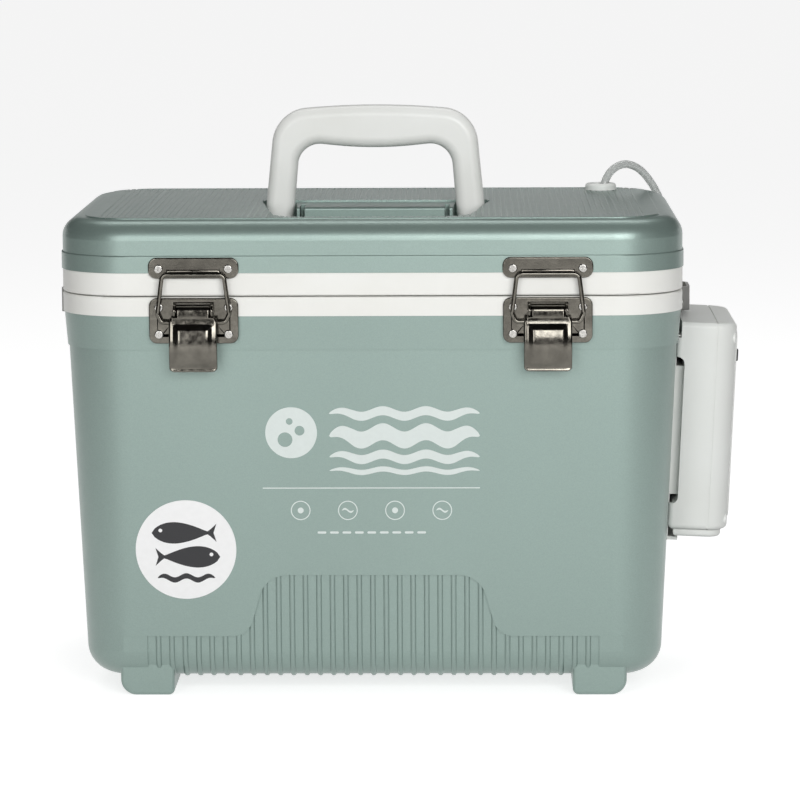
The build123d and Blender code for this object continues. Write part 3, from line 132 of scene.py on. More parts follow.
BLACK_NODES = ("speed_switch", "air_chamber", "air_nipple", "crank_disc", "pump_rocker")
BRASS_NODES = ("battery_springs", "battery_cap_contact")
FOAM_NODES = ("tub_foam", "lid_foam")


def linear(red, green, blue):
    """Scene-linear colour for screen values from 0 to 255."""
    return tuple(
        c / 12.92 if c <= 0.04045 else ((c + 0.055) / 1.055) ** 2.4
        for c in (red / 255, green / 255, blue / 255)
    )


def colour_prop(name, description, default):
    """Colour for the sidebar."""
    return FloatVectorProperty(
        name=name, description=description, default=default, size=3, subtype="COLOR",
        min=0.0, max=1.0,
    )


def length_prop(name, description, default):
    """Length for the sidebar, in metres."""
    return FloatProperty(
        name=name, description=description, default=default, unit="LENGTH", precision=5,
    )


class BaitBucketSizes(bpy.types.PropertyGroup):
    """Sizes of the pieces that are made here."""

    hose_diameter: length_prop("Hose diameter", "Outside of both air hoses", 0.0048)
    hose_bore: length_prop("Hose bore", "Inside of both air hoses", 0.0033)
    hose_sides: IntProperty(
        name="Hose sides", description="Flats round a hose", default=28, min=8, max=64
    )
    sticker_diameter: length_prop("Sticker diameter", "Round sticker on the front", 0.0575)
    sticker_x: length_prop("Sticker across", "Middle of the sticker, across", TUB_MIDDLE.x - 0.1064)
    sticker_z: length_prop("Sticker height", "Middle of the sticker, up", 0.0863)
    print_left: length_prop("Print left", "Left side of the printed block", TUB_MIDDLE.x - 0.0622)
    print_low: length_prop("Print foot", "Lower side of the printed block", 0.0955)
    print_width: length_prop("Print width", "Width of the printed block", 0.1236)
    ink_gauge: length_prop("Ink thickness", "How far ink stands proud", 0.00012)
    film_gauge: length_prop("Film thickness", "How far the sticker stands proud", 0.0003)


class BaitBucketColours(bpy.types.PropertyGroup):
    """Colours of the finishes."""

    shell: colour_prop("Shell", "Pearl green of tub and lid", linear(139, 157, 151))
    liner: colour_prop("Liner", "White of tank and bands", linear(234, 234, 230))
    handle: colour_prop("Handle", "White of the handle", linear(232, 233, 230))
    pump: colour_prop("Pump", "Cool white of the pump", linear(222, 224, 221))
    nickel: colour_prop("Nickel", "Black nickel of the latches", linear(104, 101, 94))
    steel: colour_prop("Steel", "Hinges, loops and screws", linear(176, 176, 173))
    hose: colour_prop("Hose", "Vinyl of the hoses", linear(218, 221, 219))
    ink: colour_prop("Ink", "Pale printing on the front", linear(214, 222, 219))
    sticker: colour_prop("Sticker", "White film of the sticker", linear(240, 240, 240))
    sticker_ink: colour_prop("Sticker ink", "Dark print on the sticker", linear(34, 34, 37))


# ---------------------------------------------------------------- finishes
class Finish:
    """A material made of nodes, begun with its coordinates and its shader."""

    def __init__(self, name, colour, roughness, metallic=0.0):
        self.material = bpy.data.materials.new(name)
        self.material.use_nodes = True
        self.tree = self.material.node_tree
        self.tree.nodes.clear()
        output = self.tree.nodes.new("ShaderNodeOutputMaterial")
        self.shader = self.tree.nodes.new("ShaderNodeBsdfPrincipled")
        self.tree.links.new(self.shader.outputs[0], output.inputs[0])
        self.place = self.tree.nodes.new("ShaderNodeTexCoord").outputs["Object"]
        self.colour = colour
        self.set("Base Color", (*colour, 1.0))
        self.set("Roughness", roughness)
        self.set("Metallic", metallic)

    def set(self, socket, value):
        """Sets a socket of the shader, to a number, a colour or another node's output."""
        self.join(self.shader.inputs[socket], value)

    def join(self, socket, value):
        """Links a node's output to a socket, or sets the socket to a plain value."""
        if isinstance(value, bpy.types.NodeSocket):
            self.tree.links.new(value, socket)
        else:
            socket.default_value = value

    def node(self, kind, inputs=(), **settings):
        """Adds a node; inputs pairs sockets with values."""
        made = self.tree.nodes.new(kind)
        for key, value in settings.items():
            setattr(made, key, value)
        for key, value in dict(inputs).items():
            self.join(made.inputs[key], value)
        return made

    def stretched(self, scale):
        """Coordinates scaled by a different amount along each axis."""
        return self.node("ShaderNodeMapping", {"Vector": self.place, "Scale": scale}).outputs[0]

    def grain(self, scale, detail=3.0, place=None):
        """Cloudy value from 0 to 1, in cells per metre."""
        inputs = {"Vector": place or self.place, "Scale": scale, "Detail": detail}
        return self.node("ShaderNodeTexNoise", inputs).outputs[0]

    def cells(self, scale, output="Distance", place=None):
        """Cell value of a Voronoi pattern, in cells per metre."""
        inputs = {"Vector": place or self.place, "Scale": scale}
        return self.node("ShaderNodeTexVoronoi", inputs).outputs[output]

    def between(self, value, low, high, start=0.0, end=1.0):
        """Value from start to end remapped to low to high."""
        inputs = {"Value": value, "From Min": start, "From Max": end, "To Min": low, "To Max": high}
        return self.node("ShaderNodeMapRange", inputs).outputs[0]

    def maths(self, operation, first, second=0.0):
        """Sum, product or other result of two values."""
        return self.node("ShaderNodeMath", {0: first, 1: second}, operation=operation).outputs[0]

    def tinted(self, share, low, high):
        """Mix of two colours by a share from 0 to 1."""
        mixer = self.tree.nodes.new("ShaderNodeMix")
        mixer.data_type = "RGBA"
        self.join(mixer.inputs[0], share)
        self.join(mixer.inputs[6], (*low, 1.0))
        self.join(mixer.inputs[7], (*high, 1.0))
        return mixer.outputs[2]

    def shaded(self, amount):
        """The finish's own colour made darker and lighter by amount."""
        dark = tuple(c * (1 - amount) for c in self.colour)
        light = tuple(min(1.0, c * (1 + amount)) for c in self.colour)
        return dark, light

    def bumped(self, *layers):
        """Stacks bumps, each a height, its depth in metres and its strength."""
        normal = None
        for height, depth, strength in layers:
            inputs = {"Height": height, "Distance": depth, "Strength": strength}
            if normal:
                inputs["Normal"] = normal
            normal = self.node("ShaderNodeBump", inputs).outputs[0]
        self.set("Normal", normal)


def pearl_shell(colours):
    """Injection-moulded green plastic with a pearl flake."""
    finish = Finish("pearl_green", colours.shell, 0.4, 0.55)
    flake = finish.node(
        "ShaderNodeSeparateColor", {"Color": finish.cells(2600.0, "Color")}
    ).outputs[0]
    flow = finish.grain(7.0, 2.0, finish.stretched((1.0, 1.0, 0.35)))
    share = finish.maths(
        "ADD", finish.between(flake, 0.0, 0.55), finish.between(flow, 0.0, 0.45, 0.3, 0.7)
    )
    finish.set("Base Color", finish.tinted(share, *finish.shaded(0.075)))
    finish.set("Roughness", finish.between(finish.grain(160.0), 0.34, 0.44))
    finish.set("Coat Weight", 0.22)
    finish.set("Coat Roughness", 0.22)
    finish.bumped(
        (finish.grain(620.0, 2.0), 0.00006, 0.35),
        (flake, 0.00002, 0.3),
    )
    return finish.material


def white_moulding(name, colour, roughness, warmth):
    """Satin white plastic with faint mottling and an orange-peel skin."""
    finish = Finish(name, colour, roughness)
    mottle = finish.grain(26.0, 4.0)
    low = tuple(c * k for c, k in zip(colour, (0.955, 0.953, 0.945 - warmth)))
    finish.set("Base Color", finish.tinted(finish.between(mottle, 0.0, 1.0, 0.3, 0.7), low, colour))
    finish.set("Roughness", finish.between(finish.grain(190.0), roughness - 0.06, roughness + 0.07))
    finish.set("Specular IOR Level", 0.45)
    finish.bumped(
        (finish.grain(850.0, 2.0), 0.00005, 0.4),
        (finish.grain(45.0, 2.0), 0.0002, 0.12),
    )
    return finish.material


def black_nickel(colours):
    """Stamped steel plated in dark nickel, with a fine grain and faint rubbing."""
    finish = Finish("black_nickel", colours.nickel, 0.16, 1.0)
    speck = finish.cells(1500.0)
    cloud = finish.grain(90.0, 4.0)
    share = finish.between(cloud, 0.0, 1.0, 0.35, 0.65)
    finish.set("Base Color", finish.tinted(share, *finish.shaded(0.2)))
    finish.set("Roughness", finish.between(finish.grain(420.0), 0.1, 0.24, 0.3, 0.7))
    finish.bumped(
        (speck, 0.00002, 0.25),
        (finish.grain(240.0, 3.0), 0.00006, 0.2),
    )
    return finish.material


def bright_steel(name, colour, low, high):
    """Steel with a drawn grain and small handling marks."""
    finish = Finish(name, colour, low, 1.0)
    drawn = finish.grain(900.0, 2.0, finish.stretched((1.0, 1.0, 0.06)))
    finish.set("Base Color", finish.tinted(finish.grain(130.0), *finish.shaded(0.1)))
    finish.set("Roughness", finish.between(drawn, low, high, 0.3, 0.7))
    finish.bumped((drawn, 0.00002, 0.25))
    return finish.material


def soft_vinyl(colours):
    """Clear vinyl that has gone a little milky."""
    finish = Finish("hose_vinyl", colours.hose, 0.24)
    finish.set("Transmission Weight", 0.45)
    finish.set("IOR", 1.5)
    finish.set("Base Color", finish.tinted(finish.grain(120.0), *finish.shaded(0.03)))
    finish.set("Roughness", finish.between(finish.grain(500.0), 0.18, 0.3))
    finish.bumped((finish.grain(700.0), 0.00004, 0.2))
    return finish.material


def plain_moulding(name, colour, low, high, pitch):
    """Matt moulded part: rubber, black plastic or foam, told apart by grain."""
    finish = Finish(name, colour, low)
    finish.set("Base Color", finish.tinted(finish.grain(pitch / 4), *finish.shaded(0.12)))
    finish.set("Roughness", finish.between(finish.grain(pitch / 3), low, high, 0.3, 0.7))
    finish.bumped((finish.cells(pitch), 0.4 / pitch, 0.35), (finish.grain(pitch * 0.3), 0.0001, 0.3))
    return finish.material


def battery_sleeve():
    """Printed cell sleeve: dark body with a copper end."""
    finish = Finish("battery_sleeve", linear(45, 48, 54), 0.32, 0.25)
    low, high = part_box("battery_cells")
    height = finish.node("ShaderNodeSeparateXYZ", {0: finish.place}).outputs[2]
    split = low.z + 0.68 * (high.z - low.z)
    share = finish.between(height, 0.0, 1.0, split - 0.0002, split + 0.0002)
    finish.set("Base Color", finish.tinted(share, linear(40, 43, 48), linear(196, 128, 74)))
    finish.set("Roughness", finish.between(finish.grain(400.0), 0.25, 0.4))
    finish.bumped((finish.grain(300.0), 0.00005, 0.25))
    return finish.material


def flat_film(name, colour, roughness, pitch):
    """Printed or stuck-on film with a slight tooth."""
    finish = Finish(name, colour, roughness)
    finish.set("Base Color", finish.tinted(finish.grain(pitch), *finish.shaded(0.04)))
    finish.set("Roughness", finish.between(finish.grain(pitch * 2), roughness - 0.05, roughness + 0.08))
    finish.bumped((finish.grain(pitch * 3), 0.00003, 0.25))
    return finish.material


def dress(names, material):
    """Gives CAD nodes one finish."""
    for name in names:
        mesh = NODES[name].data
        mesh.materials.clear()
        mesh.materials.append(material)


# ---------------------------------------------------------------- small makers
def link(name, data):
    """New object for mesh or curve data, in the scene."""
    made = bpy.data.objects.new(name, data)
    bpy.context.scene.collection.objects.link(made)
    return made


def solid_from(curve):
    """Mesh of a curve as Blender draws it; the curve is removed."""
    holder = link("curve_holder", curve)
    bpy.context.view_layer.update()
    drawn = holder.evaluated_get(bpy.context.evaluated_depsgraph_get())
    mesh = bpy.data.meshes.new_from_object(drawn)
    bpy.data.objects.remove(holder)
    return mesh


def route_line(route):
    """Points along the smooth line that a route of control points gives."""
    curve = bpy.data.curves.new("route", "CURVE")
    curve.dimensions = "3D"
    spline = curve.splines.new("NURBS")
    spline.points.add(len(route) - 1)
    for point, place in zip(spline.points, route):
        point.co = (*(Vector(place) + TUB_MIDDLE), 1.0)
    spline.order_u = 3
    spline.use_endpoint_u = True
    spline.resolution_u = 10
    return [vertex.co.copy() for vertex in solid_from(curve).vertices]


def turned_rings(line):
    """Direction across and up at each point of a line, carried along without twist."""
    ways = [(after - before).normalized() for before, after in zip(line, line[1:])]
    ways = [ways[0]] + [(a + b).normalized() for a, b in zip(ways, ways[1:])] + [ways[-1]]
    across = ways[0].orthogonal().normalized()
    rings = []
    for way in ways:
        across = (across - way * across.dot(way)).normalized()
        rings.append((across.copy(), way.cross(across)))
    return rings


def hollow_hose(name, line, outer, inner, sides):
    """Tube along a line, with its bore and its two cut ends."""
    rings = turned_rings(line)
    angles = [2 * math.pi * k / sides for k in range(sides)]
    turns = [(math.cos(a), math.sin(a)) for a in angles]
    verts = []
    for radius in (outer, inner):
        for place, (across, up) in zip(line, rings):
            verts += [place + (across * c + up * s) * radius for c, s in turns]
    count = len(line)
    faces = []
    for wall in range(2):
        base = wall * count * sides
        for row in range(count - 1):
            for k in range(sides):
                a = base + row * sides + k
                b = base + row * sides + (k + 1) % sides
                quad = (a, b, b + sides, a + sides)
                faces.append(quad if wall == 0 else quad[::-1])
    for row in (0, count - 1):
        for k in range(sides):
            a = row * sides + k
            b = row * sides + (k + 1) % sides
            quad = (b, a, a + count * sides, b + count * sides)
            faces.append(quad if row == 0 else quad[::-1])
    mesh = bpy.data.meshes.new(name)
    mesh.from_pydata([tuple(v) for v in verts], [], faces)
    mesh.shade_smooth()
    return link(name, mesh)


def ring(x, z, radius, points=40):
    """Circle as a closed outline."""
    return [
        (x + radius * math.cos(2 * math.pi * k / points), z + radius * math.sin(2 * math.pi * k / points))
        for k in range(points)
    ]


def wave_band(x, z, width, height, swell, waves, points=48):
    """Ribbon with wavy edges and pointed ends."""
    upper, lower = [], []
    for k in range(points + 1):
        t = k / points
        mid = z + swell * math.sin(2 * math.pi * waves * t)
        half = height / 2 * min(1.0, 6 * t, 6 * (1 - t)) ** 0.5
        upper.append((x + width * t, mid + half))
        lower.append((x + width * t, mid - half))
    return upper + lower[::-1][1:-1]


def slab(x, z, width, height, corner, points=6):
    """Bar with rounded corners."""
    outline = []
    centres = (
        (x + width - corner, z + height - corner, 0), (x + corner, z + height - corner, 1),
        (x + corner, z + corner, 2), (x + width - corner, z + corner, 3),
    )
    for cx, cz, quarter in centres:
        for k in range(points + 1):
            turn = math.pi / 2 * (quarter + k / points)
            outline.append((cx + corner * math.cos(turn), cz + corner * math.sin(turn)))
    return outline


def minnow(x, z, length, height, way, points=22):
    """Side view of a small plain fish, swimming to way."""
    upper = []
    for k in range(points + 1):
        t = k / points
        body = height / 2 * math.sin(math.pi * min(1.0, t * 1.12) ** 0.72) ** 0.9 if t * 1.12 < 1 else 0
        stem = 0.07 * height
        tail = height * 0.42 * max(0.0, (t - 0.84) / 0.16) ** 1.1
        upper.append((t, max(body, stem if t > 0.5 else 0.0, tail)))
    fork = [(1.0, upper[-1][1]), (0.955, 0.0), (1.0, -upper[-1][1])]
    lower = [(t, -half) for t, half in upper[1:-1]][::-1]
    return [(x + way * length * (0.5 - t), z + half) for t, half in upper[:-1] + fork + lower]


def wall_point(x, z, rise):
    """Place on the drafted front wall, rise metres proud of it."""
    y = TUB_MIDDLE.y - (WALL_HALF_Y - (BAND_Z - z) * WALL_SLOPE)
    out = Vector((0.0, -1.0, -WALL_SLOPE)).normalized()
    return Vector((x, y, z)) + out * rise


def wall_film(name, outlines, low, high):
    """Thin film on the front wall, filled from outlines; an outline inside another is a hole."""
    curve = bpy.data.curves.new(name, "CURVE")
    curve.dimensions = "2D"
    curve.fill_mode = "BOTH"
    curve.extrude = 0.5
    for outline in outlines:
        spline = curve.splines.new("POLY")
        spline.points.add(len(outline) - 1)
        for point, (x, z) in zip(spline.points, outline):
            point.co = (x, z, 0.0, 1.0)
        spline.use_cyclic_u = True
    mesh = solid_from(curve)
    mesh.name = name
    for vertex in mesh.vertices:
        x, z, depth = vertex.co
        vertex.co = wall_point(x, z, low + (depth + 0.5) * (high - low))
    mesh.update()
    return link(name, mesh)


def eased(name, width):
    """Rounds the stamped edges of a CAD node."""
    node = NODES[name]
    weld = node.modifiers.new("weld", "WELD")
    weld.merge_threshold = 0.000002
    bevel = node.modifiers.new("eased_edges", "BEVEL")
    bevel.width = width
    bevel.segments = 3
    bevel.limit_method = "ANGLE"
    bevel.angle_limit = math.radians(50)
    bevel.harden_normals = True


def smooth_step(value):
    """Eases a share from 0 to 1."""
    share = min(1.0, max(0.0, value))
    return share * share * (3 - 2 * share)


def lever_profile(low, high, pin):
    """Rows of a latch lever from its rolled head to its tip: out, up, half width."""
    full = (high.x - low.x) / 2
    rows = []
    for k in range(13):
        turn = math.radians(-50 + 230 * k / 12)
        out = pin.y + LEVER_ROLL * math.cos(turn)
        rows.append((out, pin.z + LEVER_ROLL * math.sin(turn), LEVER_HEAD_HALF))
    front = pin.y - LEVER_ROLL
    neck = pin.z - LEVER_NECK_DROP
    pad_top = pin.z - LEVER_SHOULDER_DROP
    rows.append((front, neck, LEVER_HEAD_HALF))
    rows.append((front, neck - 0.0002, full - 0.0004))
    rows.append((front, pad_top, full))
    length = pad_top - low.z
    first = 0.16
    for k in range(1, 37):
        share = k / 36
        swing = math.sin(math.pi * min(1.0, first + 0.74 * share))
        bow = LEVER_BOW * swing - LEVER_BOW * math.sin(math.pi * first)
        corner = max(0.0, (share - 0.93) / 0.07)
        out = front - max(0.0, bow) - LEVER_TIP_CURL * corner
        half = full - LEVER_TIP_NARROWING * corner ** 2
        rows.append((out, pad_top - length * share, half))
    return rows, pad_top, low.z


def lever_skin(side):
    """Pressed latch lever: rolled head, folded sides and a raised pad with bevelled edges."""
    low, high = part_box(side + "_latch_lever")
    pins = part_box("latch_lever_pins")
    pin = (pins[0] + pins[1]) / 2
    rows, pad_top, pad_low = lever_profile(low, high, pin)
    middle = (low.x + high.x) / 2
    columns, fold = 14, LEVER_FOLD
    verts = []
    for out, up, half in rows:
        across = []
        for k in range(-columns, columns + 1):
            x = (half - fold) * k / columns
            inside = min(half - LEVER_PAD_MARGIN - abs(x), pad_top - 0.0004 - up, up - pad_low - 0.0014)
            across.append((x, out - LEVER_PAD_RISE * smooth_step(inside / LEVER_PAD_SLOPE)))
        for sign in (-1, 1):
            edge = []
            for k in range(1, 5):
                turn = math.radians(90 * k / 4)
                x = sign * (half - fold + fold * math.sin(turn))
                edge.append((x, out + fold * (1 - math.cos(turn))))
            if half > 0.012:
                edge.append((sign * half, out + fold + LEVER_SIDE_REACH))
            else:
                edge.append((sign * half, out + fold + 0.0001))
            across = edge[::-1] + across if sign < 0 else across + edge
        verts += [(middle + x, y, up) for x, y in across]
    wide = len(verts) // len(rows)
    faces = [
        (r * wide + c, r * wide + c + 1, (r + 1) * wide + c + 1, (r + 1) * wide + c)
        for r in range(len(rows) - 1) for c in range(wide - 1)
    ]
    mesh = bpy.data.meshes.new(side + "_lever_skin")
    mesh.from_pydata(verts, [], faces)
    mesh.shade_smooth()
    skin = link(side + "_lever_skin", mesh)
    gauge = skin.modifiers.new("gauge", "SOLIDIFY")
    gauge.thickness = LEVER_GAUGE
    gauge.offset = 1.0
    return skin


# ---------------------------------------------------------------- stage
def look_from(camera, place, yaw, pitch, roll):
    """Turns the camera level-wise by yaw, down by pitch and about its own line by roll."""
    yaw, pitch, roll = (math.radians(a) for a in (yaw, pitch, roll))
    camera.location = place
    camera.rotation_mode = "QUATERNION"
    level = Vector((-math.sin(yaw), math.cos(yaw), 0.0))
    ahead = level * math.cos(pitch) - Vector((0.0, 0.0, math.sin(pitch)))
    right = Vector((math.cos(yaw), math.sin(yaw), 0.0))
    up = right.cross(ahead)
    across = right * math.cos(roll) + up * math.sin(roll)
    above = up * math.cos(roll) - right * math.sin(roll)
    camera.rotation_quaternion = turn_of(across, above, -ahead)


def turn_of(x_axis, y_axis, z_axis):
    """Quaternion of three axes."""
    return Matrix((x_axis, y_axis, z_axis)).transposed().to_quaternion()


def softbox(name, place, aim, width, height, power):
    """Rectangular lamp turned to its aim."""
    lamp = bpy.data.lights.new(name, "AREA")
    lamp.shape = "RECTANGLE"
    lamp.size = width
    lamp.size_y = height
    lamp.energy = power
    made = link(name, lamp)
    made.location = place
    made.rotation_mode = "QUATERNION"
    made.rotation_quaternion = (Vector(aim) - Vector(place)).to_track_quat("-Z", "Y")
    return made


def dark_card(name, corners):
    """Black card that only reflections see, as a studio uses to give metal its contrast."""
    mesh = bpy.data.meshes.new(name)
    mesh.from_pydata(corners, [], [(0, 1, 2, 3)])
    material = bpy.data.materials.new(name)
    material.use_nodes = True
    shader = material.node_tree.nodes["Principled BSDF"]
    shader.inputs["Base Color"].default_value = (CARD_GREY, CARD_GREY, CARD_GREY, 1.0)
    shader.inputs["Roughness"].default_value = 0.9
    mesh.materials.append(material)
    card = link(name, mesh)
    card.visible_camera = False
    card.visible_diffuse = False
    card.visible_shadow = False
    card.visible_transmission = False


def seen_directly(tree):
    """1 for camera, glossy and transmission rays, else 0."""
    path = tree.nodes.new("ShaderNodeLightPath")
    total = path.outputs["Is Camera Ray"]
    for name in ("Is Glossy Ray", "Is Transmission Ray"):
        step = tree.nodes.new("ShaderNodeMath")
        step.operation = "MAXIMUM"
        tree.links.new(total, step.inputs[0])
        tree.links.new(path.outputs[name], step.inputs[1])
        total = step.outputs[0]
    return total


def studio_world(strength):
    """Even grey light, white where it is looked at."""
    world = bpy.data.worlds.new("studio")
    world.use_nodes = True
    tree = world.node_tree
    tree.nodes.clear()
    output = tree.nodes.new("ShaderNodeOutputWorld")
    mixer = tree.nodes.new("ShaderNodeMixShader")
    tree.links.new(seen_directly(tree), mixer.inputs[0])
    for slot, level in ((1, strength), (2, 1.0)):
        light = tree.nodes.new("ShaderNodeBackground")
        light.inputs[0].default_value = (1.0, 1.0, 1.0, 1.0)
        light.inputs[1].default_value = level
        tree.links.new(light.outputs[0], mixer.inputs[slot])
    tree.links.new(mixer.outputs[0], output.inputs[0])
    bpy.context.scene.world = world


def floor_material():
    """Pale floor that keeps the shadow and reads as white to the eye."""
    material = bpy.data.materials.new("floor")
    material.use_nodes = True
    tree = material.node_tree
    tree.nodes.clear()
    output = tree.nodes.new("ShaderNodeOutputMaterial")
    diffuse = tree.nodes.new("ShaderNodeBsdfDiffuse")
    diffuse.inputs[0].default_value = (FLOOR_GREY, FLOOR_GREY, FLOOR_GREY, 1.0)
    lift = tree.nodes.new("ShaderNodeEmission")
    lift.inputs[0].default_value = (1.0, 1.0, 1.0, 1.0)
    scale = tree.nodes.new("ShaderNodeMath")
    scale.operation = "MULTIPLY"
    scale.inputs[1].default_value = FLOOR_LIFT
    tree.links.new(seen_directly(tree), scale.inputs[0])
    tree.links.new(scale.outputs[0], lift.inputs[1])
    both = tree.nodes.new("ShaderNodeAddShader")
    tree.links.new(diffuse.outputs[0], both.inputs[0])
    tree.links.new(lift.outputs[0], both.inputs[1])
    tree.links.new(both.outputs[0], output.inputs[0])
    return material


class BAITBUCKET_OT_stage(bpy.types.Operator):
    """Floor, lamps, world and camera"""

    bl_idname = "baitbucket.stage"
    bl_label = "Stage"

    def execute(self, context):
        scene = context.scene
        camera = bpy.data.cameras.new("camera")
        camera.lens = 171.42
        camera.sensor_width = 36.0
        camera.clip_end = 200.0
        viewer = link("camera", camera)
        look_from(viewer, TUB_MIDDLE + Vector((0.059, -2.2499, 0.464)), 1.148, 7.764, -0.27)
        scene.camera = viewer
        half = 40.0
        mesh = bpy.data.meshes.new("floor")
        low = -0.0002
        corners = [(-half, -half, low), (half, -half, low), (half, half, low), (-half, half, low)]
        mesh.from_pydata(corners, [], [(0, 1, 2, 3)])
        mesh.materials.append(floor_material())
        link("floor", mesh)
        aim = (0.0, 0.0, 0.17)
        softbox("key_lamp", (0.6, -2.1, 0.85), aim, 1.2, 0.8, 26.0)
        softbox("fill_lamp", (-0.75, -2.2, 0.7), aim, 0.7, 1.0, 11.0)
        softbox("top_lamp", (0.0, 0.7, 1.7), (0.0, 0.0, 0.27), 1.6, 0.6, 8.0)
        side, front, back, top = 1.7, -3.2, 1.5, 2.3
        front_left, front_right = (-side, front), (side, front)
        back_left, back_right = (-side, back), (side, back)
        for name, start, end, low in (
            ("left_card", front_left, back_left, 0.0),
            ("right_card", front_right, back_right, 0.0),
            ("back_card", back_left, back_right, BACK_CARD_LOW),
            ("front_card", front_left, front_right, 0.0),
        ):
            dark_card(name, [(*start, low), (*end, low), (*end, top), (*start, top)])
        ceiling = (front_left, front_right, back_right, back_left)
        dark_card("top_card", [(*corner, top) for corner in ceiling])
        studio_world(WORLD_LIGHT)
        scene.view_settings.view_transform = "Standard"
        return {"FINISHED"}


# ---------------------------------------------------------------- pieces
class BAITBUCKET_OT_hoses(bpy.types.Operator):
    """Vinyl air hose over the lid, and the one down to the air stone"""

    bl_idname = "baitbucket.hoses"
    bl_label = "Air hoses"

    def execute(self, context):
        sizes = context.scene.baitbucket_sizes
        vinyl = soft_vinyl(context.scene.baitbucket_colours)
        outer, inner = sizes.hose_diameter / 2, sizes.hose_bore / 2
        for name, route, low in (
            ("air_hose_tube", AIR_HOSE_ROUTE, AIR_HOSE_BEND_LOW),
            ("tank_hose_tube", TANK_HOSE_ROUTE, TANK_HOSE_BEND_LOW),
        ):
            line = route_line(route)
            tube = hollow_hose(name, line, outer, inner, sizes.hose_sides)
            tube.data.materials.append(vinyl)
            node = name.replace("_tube", "")
            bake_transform(tube)
            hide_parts(node)
        dress(("hose_grommet",), white_moulding("grommet_vinyl", linear(226, 228, 225), 0.36, 0.0))
        dress(("air_stone",), plain_moulding("bonded_grit", linear(112, 136, 152), 0.85, 0.98, 900.0))
        return {"FINISHED"}


class BAITBUCKET_OT_box(bpy.types.Operator):
    """Finishes of tub, lid, tank and handle"""

    bl_idname = "baitbucket.box"
    bl_label = "Tub, lid and handle"

    def execute(self, context):
        colours = context.scene.baitbucket_colours
        dress(GREEN_NODES, pearl_shell(colours))
        dress(LINER_NODES, white_moulding("liner_white", colours.liner, 0.38, 0.006))
        dress(HANDLE_NODES, white_moulding("handle_white", colours.handle, 0.34, 0.003))
        dress(FOAM_NODES, plain_moulding("cut_foam", linear(236, 226, 188), 0.85, 0.97, 700.0))
        dress(RUBBER_NODES, plain_moulding("black_rubber", linear(48, 48, 50), 0.6, 0.75, 1400.0))
        return {"FINISHED"}


class BAITBUCKET_OT_metal(bpy.types.Operator):
    """Finishes of latches, hinges, strap loops and screws"""

    bl_idname = "baitbucket.metal"
    bl_label = "Metal parts"

    def execute(self, context):
        colours = context.scene.baitbucket_colours
        nickel = black_nickel(colours)
        dress(LATCH_NODES, nickel)
        for side in ("left", "right"):
            eased(side + "_strike_plate", PLATE_EDGE_ROUND)
            eased(side + "_catch_plate", PLATE_EDGE_ROUND)
            skin = lever_skin(side)
            skin.data.materials.append(nickel)
            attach(skin, side + "_lever")
            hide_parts(side + "_latch_lever")
        dress(LATCH_SCREW_NODES, bright_steel("bright_screws", linear(186, 184, 180), 0.16, 0.3))
        dress(STEEL_NODES, bright_steel("satin_steel", colours.steel, 0.28, 0.45))
        dress(BRASS_NODES, bright_steel("stamped_brass", linear(206, 172, 106), 0.22, 0.38))
        return {"FINISHED"}


class BAITBUCKET_OT_pump(bpy.types.Operator):
    """Finishes of the air pump"""

    bl_idname = "baitbucket.pump"
    bl_label = "Air pump"

    def execute(self, context):
        colours = context.scene.baitbucket_colours
        dress(PUMP_NODES, white_moulding("pump_white", colours.pump, 0.42, 0.0))
        dress(BLACK_NODES, plain_moulding("black_plastic", linear(38, 38, 40), 0.42, 0.6, 1700.0))
        dress(("battery_cells",), battery_sleeve())
        return {"FINISHED"}


class BAITBUCKET_OT_printing(bpy.types.Operator):
    """Pale waves and rings printed on the front wall"""

    bl_idname = "baitbucket.printing"
    bl_label = "Printing"

    def execute(self, context):
        sizes = context.scene.baitbucket_sizes
        left, low, width = sizes.print_left, sizes.print_low, sizes.print_width
        badge = (left + 0.0165, low + 0.0585)
        outlines = [ring(*badge, 0.0147, 72)]
        outlines += [ring(badge[0] + x, badge[1] + z, r) for x, z, r in (
            (-0.0035, -0.004, 0.0042), (0.0048, 0.0012, 0.0028), (-0.001, 0.0065, 0.0019),
        )]
        wave_left = left + 0.038
        for rise, height, swell in (
            (0.0695, 0.0052, 0.0016), (0.0566, 0.0098, 0.0024), (0.0445, 0.0052, 0.0016),
            (0.0365, 0.003, 0.001),
        ):
            outlines.append(wave_band(wave_left, low + rise, width - 0.038, height, swell, 3.5, 96))
        outlines.append(slab(left, low + 0.0262, width, 0.0006, 0.00028))
        for k in range(4):
            x = left + 0.0215 + k * (width - 0.043) / 3
            z = low + 0.0135
            outlines += [ring(x, z, 0.0056, 48), ring(x, z, 0.00505, 48)]
            if k % 2:
                outlines.append(wave_band(x - 0.0034, z, 0.0068, 0.0011, 0.0009, 1.0))
            else:
                outlines.append(ring(x, z, 0.0017))
        for k in range(9):
            outlines.append(slab(left + 0.031 + k * 0.0071, low, 0.005, 0.0013, 0.0006))
        printed = wall_film("front_printing", outlines, FILM_LIFT, sizes.ink_gauge)
        ink = context.scene.baitbucket_colours.ink
        printed.data.materials.append(flat_film("pale_ink", ink, 0.5, 400.0))
        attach(printed, "tub")
        return {"FINISHED"}


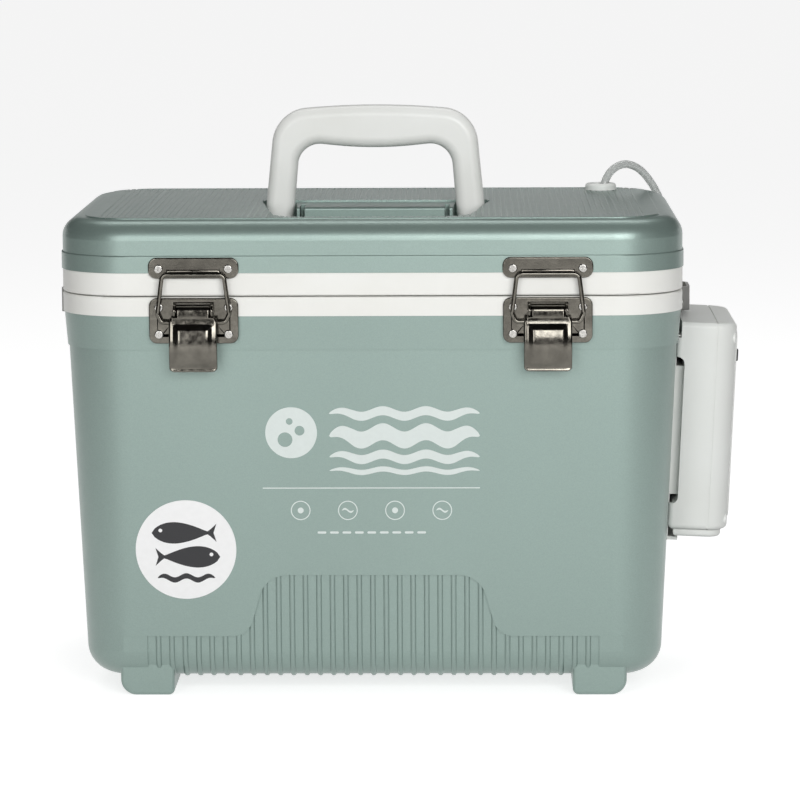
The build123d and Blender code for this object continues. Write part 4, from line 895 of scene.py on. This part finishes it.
class BAITBUCKET_OT_sticker(bpy.types.Operator):
    """Round white sticker with two minnows and a wave"""

    bl_idname = "baitbucket.sticker"
    bl_label = "Sticker"

    def execute(self, context):
        sizes = context.scene.baitbucket_sizes
        colours = context.scene.baitbucket_colours
        x, z, radius = sizes.sticker_x, sizes.sticker_z, sizes.sticker_diameter / 2
        film = wall_film("round_sticker", [ring(x, z, radius, 128)], FILM_LIFT, sizes.film_gauge)
        film.data.materials.append(flat_film("sticker_film", colours.sticker, 0.36, 300.0))
        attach(film, "tub")
        motif = [
            minnow(x - 0.001, z + 0.0098, 0.037, 0.0125, -1),
            ring(x - 0.0145, z + 0.0112, 0.0011, 16),
            minnow(x + 0.001, z - 0.0042, 0.037, 0.0125, 1),
            ring(x + 0.0145, z - 0.0028, 0.0011, 16),
            wave_band(x - 0.0165, z - 0.0165, 0.033, 0.0031, 0.0012, 2.5),
        ]
        ink = wall_film("sticker_print", motif, sizes.film_gauge, sizes.film_gauge + 0.00008)
        ink.data.materials.append(flat_film("dark_ink", colours.sticker_ink, 0.45, 400.0))
        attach(ink, "tub")
        return {"FINISHED"}


class BAITBUCKET_PT_panel(bpy.types.Panel):
    """Lists the pieces and their sizes and colours"""

    bl_idname = "BAITBUCKET_PT_panel"
    bl_label = "Bait bucket"
    bl_space_type = "VIEW_3D"
    bl_region_type = "UI"
    bl_category = "Bait bucket"

    def draw(self, context):
        layout = self.layout
        for operator in OPERATORS:
            layout.operator(operator.bl_idname)
        for group in (context.scene.baitbucket_sizes, context.scene.baitbucket_colours):
            box = layout.box()
            for name in group.__annotations__:
                box.prop(group, name)


OPERATORS = (
    BAITBUCKET_OT_stage, BAITBUCKET_OT_hoses, BAITBUCKET_OT_box, BAITBUCKET_OT_metal,
    BAITBUCKET_OT_pump, BAITBUCKET_OT_printing, BAITBUCKET_OT_sticker,
)
CLASSES = (BaitBucketSizes, BaitBucketColours, *OPERATORS, BAITBUCKET_PT_panel)


def register():
    for cls in CLASSES:
        bpy.utils.register_class(cls)
    bpy.types.Scene.baitbucket_sizes = PointerProperty(type=BaitBucketSizes)
    bpy.types.Scene.baitbucket_colours = PointerProperty(type=BaitBucketColours)


def unregister():
    del bpy.types.Scene.baitbucket_colours
    del bpy.types.Scene.baitbucket_sizes
    for cls in reversed(CLASSES):
        bpy.utils.unregister_class(cls)


def main():
    """Dresses the bucket."""
    register()
    bpy.ops.baitbucket.stage()
    bpy.ops.baitbucket.hoses()
    bpy.ops.baitbucket.box()
    bpy.ops.baitbucket.metal()
    bpy.ops.baitbucket.pump()
    bpy.ops.baitbucket.printing()
    bpy.ops.baitbucket.sticker()


if __name__ == "__main__":
    main()
